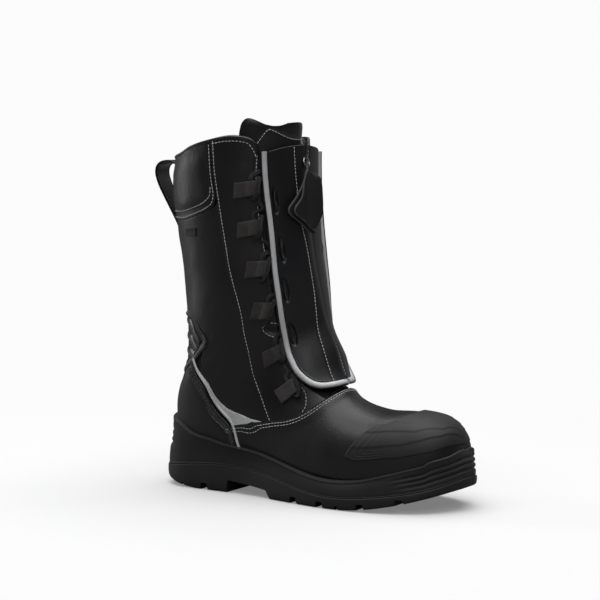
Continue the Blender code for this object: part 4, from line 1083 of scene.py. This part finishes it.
# ---------------------------------------------------------------- stitching
# Rows on the facing: the seam, the front edge, the collar, the notch and the corner over the vamp
FACING_ROWS = [
    [(u, v - SEAM_INSET) for u, v in FACING_SEAM],
    [(u, v + 1.0 / PER_V) for u, v in FACING_EDGE[:4]],
    [(17.1, .487), (17.13, .43), (17.1, .374), (16.98, .316), (16.69, .285), (16.4, .268)],
    [(10.95, .247), (11.07, .269), (11.14, .294), (11.09, .310), (10.92, .304), (10.72, .285), (10.52, .256)],
    [(8.55, .262), (8.2, .262), (7.95, .272), (7.72, .300), (7.66, .335)],
]


def make_stitching():
    """Every visible seam, gathered into one object for each body."""
    parts = []
    for _, sign in SIDES:
        for line in FACING_ROWS:
            parts += stitches(*trace(side(line, sign), FACING))
    for inset in VAMP_ROWS:
        parts += stitches(*trace(across(seam_row(inset)), lambda u, v: vamp_lift(u, v) - .05))
    for row in PATCH_ROWS:
        parts += stitches(*trace(around(row), .35))
    parts += stitches(*trace(across([(u - .02, v) for u, v in TONGUE_WAVE]), leaning(-2.2)), radius=.34)
    joined("upper_stitching", parts, "thread")
    for (name, sign), rise in zip(SIDES, (.15, -1.1)):
        row = trace(side(PANEL_STITCHES[name], sign), lambda u, v, rise=rise: panel_lift(u, v) + rise)
        joined(f"panel_stitching_{name}", stitches(*row), "thread", f"zip_flap_{name}")


# ---------------------------------------------------------------- pull strap, tag and zip pull
def make_pull_loop():
    """Rear strap: a lined leather band that leaves the collar as a D."""
    path = [(-37.5, 303), (-44, 309), (-55, 310.5), (-63, 307.5), (-65.8, 300), (-62.5, 289), (-54, 274),
            (-43, 256), (-36, 243)]
    middle = catmull(path, np.linspace(0, len(path) - 1, 60))
    points = np.stack([middle[:, 0], np.zeros(len(middle)), middle[:, 1]], 1)
    up = unit(np.cross(np.gradient(points, axis=0), [0, 1, 0]))
    up *= -np.sign(up[10, 0])
    sweep("pull_loop_band", points, up, oval(22, 2.4, 22, 5), "glossy_leather", stands_for=["pull_loop"])
    row, rise = points[4:-3], up[4:-3]
    parts = [part for shift in (-9.2, 9.2) for part in stitches(row + [0, shift, 0] + rise * 1.2, rise)]
    joined("pull_loop_stitching", parts, "dark_thread")


def make_tag():
    top, foot = [(14.74, -.583), (14.86, -.660)], [(14.55, -.589), (14.68, -.668)]
    grid = ruled(top, foot, spaced(max(length_of(top), length_of(foot)), 1.2), spaced(8, 1.2, .5))
    relief = lambda u, v, points: -.25 * np.clip(border_distance(points) - 1.2, 0, 1)
    sheet("side_tag_leather", grid, -.2, .85, "matte_leather", stands_for=["side_tag"], edge=.4,
          relief=relief)


# The tab in its own plane, as mm to the right of the ring's eye and down from it
TAB_TURN = math.radians(32)                    # the plane faces the outer side, turned this far to the toe
TAB_LEFT = [(1, 12.3), (-2.8, 25.5), (-8.5, 36.8), (-15.5, 49), (-6, 59.0), (4.0, 69.0)]
TAB_RIGHT = [(7.5, 14.2), (14.2, 19.8), (16, 34.9), (16, 50.9), (12.3, 61.3), (7.0, 70.2)]
TAB_LEAVES = ((0, 0), (3.2, 5.5))              # how far each leaf stands off, and is cut back on the left
TAB_HALF = .75
THONG = [(0, 9.5, 1.0), (.8, 6.0, 2.6), (1.6, 8, 4.0), (1.8, 14, 5.5), (3.5, 20, 7.6), (6, 27, 8.6)]


def make_pull():
    """A leather thong through the ring, tied to a folded leather tab that stands off the zip."""
    low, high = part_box("pull_ring")
    eye = (np.array(low + high) / 2 - ORIGIN) / UNIT + [-1.1, 0, 4.5]
    cos, sin = math.cos(TAB_TURN), math.sin(TAB_TURN)
    near = np.array([sin, -cos, 0])
    axes = np.array([(cos, sin, 0), (0, 0, -1), near])      # right, down and near
    left, right = (catmull(line, np.linspace(0, 5, 36))[:, None] for line in (TAB_LEFT, TAB_RIGHT))
    share = spaced(30, 1.5, .8)
    across_tab = left[..., 0] * (1 - share) + right[..., 0] * share
    down = left[..., 1] * (1 - share) + right[..., 1] * share
    bow = 2.0 * np.sin(down / 70 * math.pi) * (1 - share)
    edges = []
    for number, (stand_off, inset) in enumerate(TAB_LEAVES, 1):
        a = across_tab + inset * (1 - share) * smoothstep((down - 20) / 20)
        depth = 7 - np.where(a < 1, .8, .15) * (a - 1) + stand_off * (1 - share ** 4) + bow
        points = eye + np.stack([a, down, depth], -1) @ axes
        rim = np.clip(1 - border_distance(points) / .7, 0, 1)[..., None]
        thick = near * TAB_HALF * (1 - .5 * rim)
        slab(f"pull_tab_leaf_{number}", points + thick, points - thick, "matte_leather", "pull", ["pull_tab"],
             points)
        # grey strips along the left edges of both leaves: the cut leather edges, coloured lighter than the
        # leather as a painted highlight on the folds
        edges.append(bar(points[:, 0], np.tile(near, (36, 1)), oval(1.7, 1.0, 8)))
    joined("pull_tab_edges_and_highlights", edges, "cut_edge_and_highlight", "pull")
    path = catmull(eye + np.array(THONG) @ axes, np.linspace(0, 5, 40))
    sweep("pull_thong", path, np.tile(near, (40, 1)), oval(4.2, 1.5, 12, 3), "glossy_leather", "pull",
          crease=80)


# ---------------------------------------------------------------- sole
PLAN_OUT = [(-50, 2), (-44, -22), (-25, -37), (10, -40), (60, -42), (110, -52), (155, -58), (200, -54),
            (242, -35), (265, -6), (269, 13)]
PLAN_IN = [(-50, 2), (-45, 22), (-26, 37), (10, 39), (60, 38), (100, 44), (150, 53), (190, 56), (232, 50),
           (259, 34), (269, 13)]
PARTING = [(-50, 18), (-25, 21), (5, 24.5), (32, 26), (55, 25), (80, 22.5), (103, 18.5), (127, 13.5),
           (150, 11), (170, 11), (195, 13), (224, 17), (245, 21.5), (260, 27), (269, 31)]
SOLE_COUNT = 120                               # points on each side of the sole


def closed_loop(out, inn):
    """One loop of the sole: the outer side from heel to toe, then back along the inner side."""
    halves = []
    for points in (out, inn):
        run = run_of(points[:, :2])
        halves.append(read_off(np.linspace(0, run[-1], SOLE_COUNT), run, points))
    return np.vstack([halves[0], halves[1][-2:0:-1]])


def ring_at(inset, height):
    """The sole's plan, inset in mm, at a height given as a number or as a function of x."""
    loop = closed_loop(*(catmull(plan, np.linspace(0, len(plan) - 1, 400)) for plan in (PLAN_OUT, PLAN_IN)))
    z = height(loop[:, 0]) if callable(height) else np.full(len(loop), float(height))
    return np.column_stack([loop - outward(loop) * inset, z])


def ground(x):
    """Underside of the tread: toe spring and heel spring."""
    x = np.asarray(x, float)
    return 20 * (np.clip(x - 165, 0, None) / 100) ** 1.7 + 9.5 * np.clip((2 - x) / 52, 0, 1) ** 1.6


def parting(x):
    """Height of the line where tread and sole wall meet."""
    fine = catmull(PARTING, np.linspace(0, len(PARTING) - 1, 300))
    return np.interp(x, fine[:, 0], fine[:, 1])


def inside(x):
    """Height of the tread's upper face, inside the wall."""
    return np.interp(x, [-50, 30, 65, 112, 150, 185, 213, 237, 255, 266],
                     [14, 14, 13, 9.5, 8, 9.5, 13.5, 18, 22, 25])


def stack_faces(rings):
    """Quads between rings, with the first and last closed by strips across the sole."""
    n = len(rings[0])
    half = n // 2 + 1
    faces = grid_faces(len(rings), n, wrap=True)
    for base in (0, (len(rings) - 1) * n):
        faces.append([base, base + 1, base + n - 1])
        faces += [[base + k, base + k + 1, base + n - k - 1, base + n - k] for k in range(1, half - 2)]
        faces.append([base + half - 2, base + half - 1, base + half])
    return faces


def carve(obj, cutters):
    """Cuts each cutter mesh out of obj and removes the cutters."""
    for cutter in cutters:
        step = obj.modifiers.new("cut", "BOOLEAN")
        step.operation, step.solver, step.object = "DIFFERENCE", "EXACT", cutter
    graph = bpy.context.evaluated_depsgraph_get()
    finished = bpy.data.meshes.new_from_object(obj.evaluated_get(graph), depsgraph=graph)
    obj.modifiers.clear()
    obj.data = finished
    finished.polygons.foreach_set("use_smooth", [True] * len(finished.polygons))
    finished.set_sharp_from_angle(angle=math.radians(38))
    for cutter in cutters:
        bpy.data.objects.remove(cutter)


BLOCK_FACES = [[0, 1, 3, 2], [4, 6, 7, 5], [0, 4, 5, 1], [2, 3, 7, 6], [0, 2, 6, 4], [1, 5, 7, 3]]


def groove(x, width, deep, flare=.35):
    """A cutter across the whole tread, wider at the ground."""
    base = float(ground(x))
    points = []
    for y in (-70, 70):
        for half, z in ((width / 2 + flare * deep, base - 4), (width / 2, base + deep)):
            points += [(x - half, y, z), (x + half, y, z)]
    return np.array(points), BLOCK_FACES


# Depth of the sole wall's grooves, and their places as shares of its height from the top
TOE_GROOVE, TOE_GROOVES = 1.5, (.30, .52, .74)
HEEL_GROOVE, HEEL_GROOVES = 2.0, (.26, .40, .54)


def rim_of_sole(lift):
    """Loop where the sole wall ends on the upper, lifted off it in mm, and less at the toe."""
    at = along(SOLE_TOP, np.linspace(0, 1, 500))
    held = lift * (1 - .62 * smoothstep((2.6 - at[:, 0]) / 1.6))
    return closed_loop(*(on_upper(at[:, 0], sign * at[:, 1], held) for _, sign in SIDES))


def make_midsole():
    """Sole wall: from the parting line it leans in to the upper, with grooves round the toe and the heel."""
    low = ring_at(.6, lambda x: parting(x) + .7)
    plan = ring_at(.8, 0)
    rim = rim_of_sole(4.2)
    bulge = 2.5 - 1.3 * smoothstep((-18 - rim[:, :1]) / 20)
    rings = [ring_at(7.6, lambda x: inside(x) + .7), low]
    for t in np.linspace(1, 0, 26)[1:]:
        w = 1 - (1 - t) ** bulge
        xy = rim[:, :2] * (1 - w) + plan[:, :2] * w
        z = rim[:, 2] * (1 - t) + low[:, 2] * t
        toe = smoothstep((xy[:, 0] - 205 - 14 * t) / 22)
        heel = smoothstep((-26 - xy[:, 0]) / 12)
        grooves = sum(np.exp(-((t - k) / .055) ** 2) for k in TOE_GROOVES) * TOE_GROOVE * toe
        grooves += sum(np.exp(-((t - k) / .05) ** 2) for k in HEEL_GROOVES) * HEEL_GROOVE * heel
        lip = (.9 - .5 * toe) * np.exp(-(t / .07) ** 2)
        foot = -.8 * smoothstep((t - .93) / .07)
        xy = xy + outward(xy) * (lip - grooves + foot)[:, None]
        rings.append(np.column_stack([xy, z]))
    rings += [rim_of_sole(3.3) + [0, 0, .5], rim_of_sole(0.0) + [0, 0, .7]]
    obj = piece("midsole_wall", np.vstack(rings), stack_faces(rings), "black_rubber", stands_for=["midsole"])
    v = np.linspace(-1, 1, 91)[:-1]
    rows = np.concatenate([[.1, .3, .5], np.linspace(.8, 9.0, 30), np.linspace(9.2, 12, 18)])
    u = np.broadcast_to(rows[:, None], (len(rows), len(v)))
    cavity = on_upper(u, np.broadcast_to(v, u.shape), .2)
    nu, nv = u.shape
    faces = grid_faces(nu, nv, wrap=True) + caps(nu, nv)
    carve(obj, [piece("cavity", cavity.reshape(-1, 3), faces, "black_rubber")])


WAIST_CUT = [(34.5, -6), (93, -6), (38, 12.3), (84, 8.0)]      # the arch, seen from the side
CROSS_GROOVES = [(10, 6.5, 6.5), (118, 6, 6.5), (148, 6, 6), (189, 6, 5.5), (223, 6, 5)]    # x, width, depth
FINE_GROOVES = [(26, 2.2, 2.6), (166, 3, 3.5), (-16, 3, 3)]


def make_outsole():
    above = lambda base, rise: lambda x: base(x) + rise
    edge = ((3.2, 0), (1.7, .25), (.7, 1.1), (.15, 2.4))
    rings = [ring_at(inset, above(ground, rise)) for inset, rise in edge]
    for share in (.35, .65, .85):
        rings.append(ring_at(-.15, lambda x, s=share: (ground(x) + 2.4) * (1 - s) + (parting(x) - 1.0) * s))
    rings += [ring_at(inset, above(parting, rise)) for inset, rise in ((0, -.6), (.5, -.1), (1.6, 0))]
    rings.append(ring_at(7.0, inside))
    obj = piece("outsole_tread", np.vstack(rings), stack_faces(rings), "black_rubber", stands_for=["outsole"])
    cross_cuts = [(np.array([(x, y, z) for y in (-70, 70) for x, z in WAIST_CUT]), BLOCK_FACES)]
    cross_cuts += [groove(*cut) for cut in CROSS_GROOVES]
    cross_cuts += [groove(*cut, flare=.2) for cut in FINE_GROOVES]
    long_cuts = []
    for y in (-15, 15):
        for x0, x1 in ((-34, 33), (93, 236)):
            points = []
            for sign in (-1, 1):
                points += [(x0, y + 2.6 * sign, -6), (x1, y + 2.6 * sign, -6),
                           (x0, y + 1.6 * sign, 4), (x1, y + 1.6 * sign, 4 + float(ground(x1)))]
            long_cuts.append((np.array(points), BLOCK_FACES))
    carve(obj, [piece("cross_grooves", *merged(cross_cuts), "black_rubber"),
                piece("long_grooves", *merged(long_cuts), "black_rubber")])


# Pads on the toe guard: height of each step, and the v of its edge along u
GUARD_STEPS = (
    (.45, [.9, 1.27, 2.2, 3.0, 3.65, 5.13], [0, .022, .26, .35, .393, .401]),
    (.5, [1.5, 1.91, 2.29, 3.31, 4.67], [0, .028, .167, .28, .294]),
    (.45, [1.9, 2.2, 2.7, 3.6, 4.2], [0, .03, .12, .20, .21]),
)


def make_toe_guard():
    """Moulded rubber over the toe: layered pads that step up towards the tip."""
    grid = ruled(across(GUARD_TOP), across(GUARD_FOOT), spaced(290, 1.6), spaced(62, 1.3))

    def relief(u, v, points):
        from_border = border_distance(points)
        steps = 0
        for rise, at_u, edge_v in GUARD_STEPS:
            inner = smoothstep((np.interp(u, at_u, edge_v) - np.abs(v)) * PER_V / 3.0)
            steps = steps + rise * inner * smoothstep((u - .9) / .8)
        arcs = .16 * np.sin(from_border * 1.15) * smoothstep((u - 3.8) / 1.4) * smoothstep(u - 2.2)
        return steps * smoothstep(from_border / 3) + arcs
    sheet("toe_guard_rubber", grid, -.2, .6, "black_rubber", stands_for=["toe_guard"], edge=1.0,
          relief=relief)


# ---------------------------------------------------------------- pieces that stay as the part made them
CAD_FINISH = {
    "zip_slider": "slider_metal", "pull_ring": "slider_metal", "zip_bottom_stop": "slider_metal",
    "zip_tape_lateral": "zip_tape", "zip_tape_medial": "zip_tape", "shank": "steel",
    "puncture_plate": "steel", "toe_cap": "steel", "heel_stiffener": "fibre_board",
    "insole_board": "fibre_board", "footbed": "foam",
    "ankle_pad_lateral": "foam", "ankle_pad_medial": "foam",
}


def finish_cad_nodes():
    """Materials for the nodes that no piece stands for."""
    for name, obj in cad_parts.items():
        if obj.hide_render:
            continue
        finish = CAD_FINISH.get(name, "fibre_board")
        obj.data.materials.clear()
        obj.data.materials.append(MATERIALS[finish])
        obj.data.set_sharp_from_angle(angle=math.radians(35))


# ---------------------------------------------------------------- studio
FLOOR_GLOW = .2                                # share of the backdrop's glow in the paper under the boot
FLOOR_FADE_M = (.22, .75)                      # the share grows from the first distance to 1 at the second
FLOOR_SEEN_BY_BOOT = .22
BACKDROP, SURROUND = .97, .05


def make_floor():
    """Pale paper. To the boot it is darker than to the camera, as if black cards stood round the set."""
    mesh = bpy.data.meshes.new("floor")
    work = bmesh.new()
    bmesh.ops.create_circle(work, cap_ends=True, segments=96, radius=9)
    work.to_mesh(mesh)
    work.free()
    look = Look("paper", (.9, .9, .9), .9, Specular_IOR_Level=.0)
    look.ramp(look.texture("Noise", 180, Detail=4), (.895,) * 3, (.905,) * 3)
    dim = look.add("BsdfDiffuse", Color=grey(FLOOR_SEEN_BY_BOOT))
    glow = look.add("Emission", Color=grey(BACKDROP))
    path = look.add("LightPath")
    lit = look.add("MixShader")
    mix = look.add("MixShader")
    place = look.add("NewGeometry")
    far = look.add("VectorMath", operation="DISTANCE")
    far.inputs[1].default_value = (.1, 0, 0)
    near_m, far_m = FLOOR_FADE_M
    spread = look.add("MapRange", interpolation_type="SMOOTHSTEP", From_Min=near_m, From_Max=far_m,
                      To_Min=FLOOR_GLOW, To_Max=1)
    look.link((place.outputs["Position"], far.inputs[0]), (far.outputs["Value"], spread.inputs["Value"]),
              (spread.outputs["Result"], lit.inputs["Fac"]), (look.shader.outputs[0], lit.inputs[1]),
              (glow.outputs[0], lit.inputs[2]), (path.outputs["Is Camera Ray"], mix.inputs["Fac"]),
              (dim.outputs[0], mix.inputs[1]), (lit.outputs[0], mix.inputs[2]),
              (mix.outputs[0], look.tree.nodes["Material Output"].inputs["Surface"]))
    mesh.materials.append(look.material)
    floor = bpy.data.objects.new("floor", mesh)
    bpy.context.scene.collection.objects.link(floor)


def make_world():
    world = bpy.data.worlds.new("studio")
    bpy.context.scene.world = world
    world.use_nodes = True
    tree = world.node_tree
    back = tree.nodes["Background"]
    back.inputs["Color"].default_value = grey(BACKDROP)
    room = tree.nodes.new("ShaderNodeBackground")
    room.inputs["Color"].default_value = (SURROUND, SURROUND, SURROUND * 1.06, 1)
    path = tree.nodes.new("ShaderNodeLightPath")
    mix = tree.nodes.new("ShaderNodeMixShader")
    tree.links.new(path.outputs["Is Camera Ray"], mix.inputs["Fac"])
    tree.links.new(room.outputs[0], mix.inputs[1])
    tree.links.new(back.outputs[0], mix.inputs[2])
    tree.links.new(mix.outputs[0], tree.nodes["World Output"].inputs["Surface"])


def light(name, place, aim, size, power):
    data = bpy.data.lights.new(name, "AREA")
    data.shape = "RECTANGLE"
    data.size, data.size_y = size
    data.energy = power
    obj = bpy.data.objects.new(name, data)
    obj.location = place
    obj.rotation_euler = (Vector(aim) - Vector(place)).to_track_quat("-Z", "Y").to_euler()
    bpy.context.scene.collection.objects.link(obj)


def make_lights():
    light("overhead", (.1, .1, 3.0), (.1, 0, 0), (4.0, 4.0), 132)
    light("left_box", (-2.0, -.3, .7), (0, 0, .25), (.5, 1.2), 9)
    light("front_box", (1.2, -1.9, 1.5), (.15, 0, .1), (1.0, .8), 7)
    light("back_wall", (.5, 2.3, .8), (.1, 0, .3), (2.2, 1.4), 2.5)


CAMERA_LENS, CAMERA_PLACE, CAMERA_TURN = 103.2, (.9406, -1.3569, .307), (85.5, 0, 32)


def make_camera():
    data = bpy.data.cameras.new("camera")
    data.lens = CAMERA_LENS
    data.clip_start = .05
    camera = bpy.data.objects.new("camera", data)
    camera.location = CAMERA_PLACE
    camera.rotation_euler = [math.radians(angle) for angle in CAMERA_TURN]
    bpy.context.scene.collection.objects.link(camera)
    bpy.context.scene.camera = camera
    bpy.context.scene.view_settings.view_transform = "Standard"


# ---------------------------------------------------------------- build
for make in (
        make_materials, make_facings, make_quarters, make_vamp, make_collar,
        make_achilles, make_heel, make_tongue, make_lining, make_panels,
        make_panel_piping, make_loops, make_laces, make_stitching, make_pull_loop,
        make_tag, make_pull, make_midsole, make_outsole, make_toe_guard,
        finish_cad_nodes, make_floor, make_world, make_lights, make_camera):
    make()
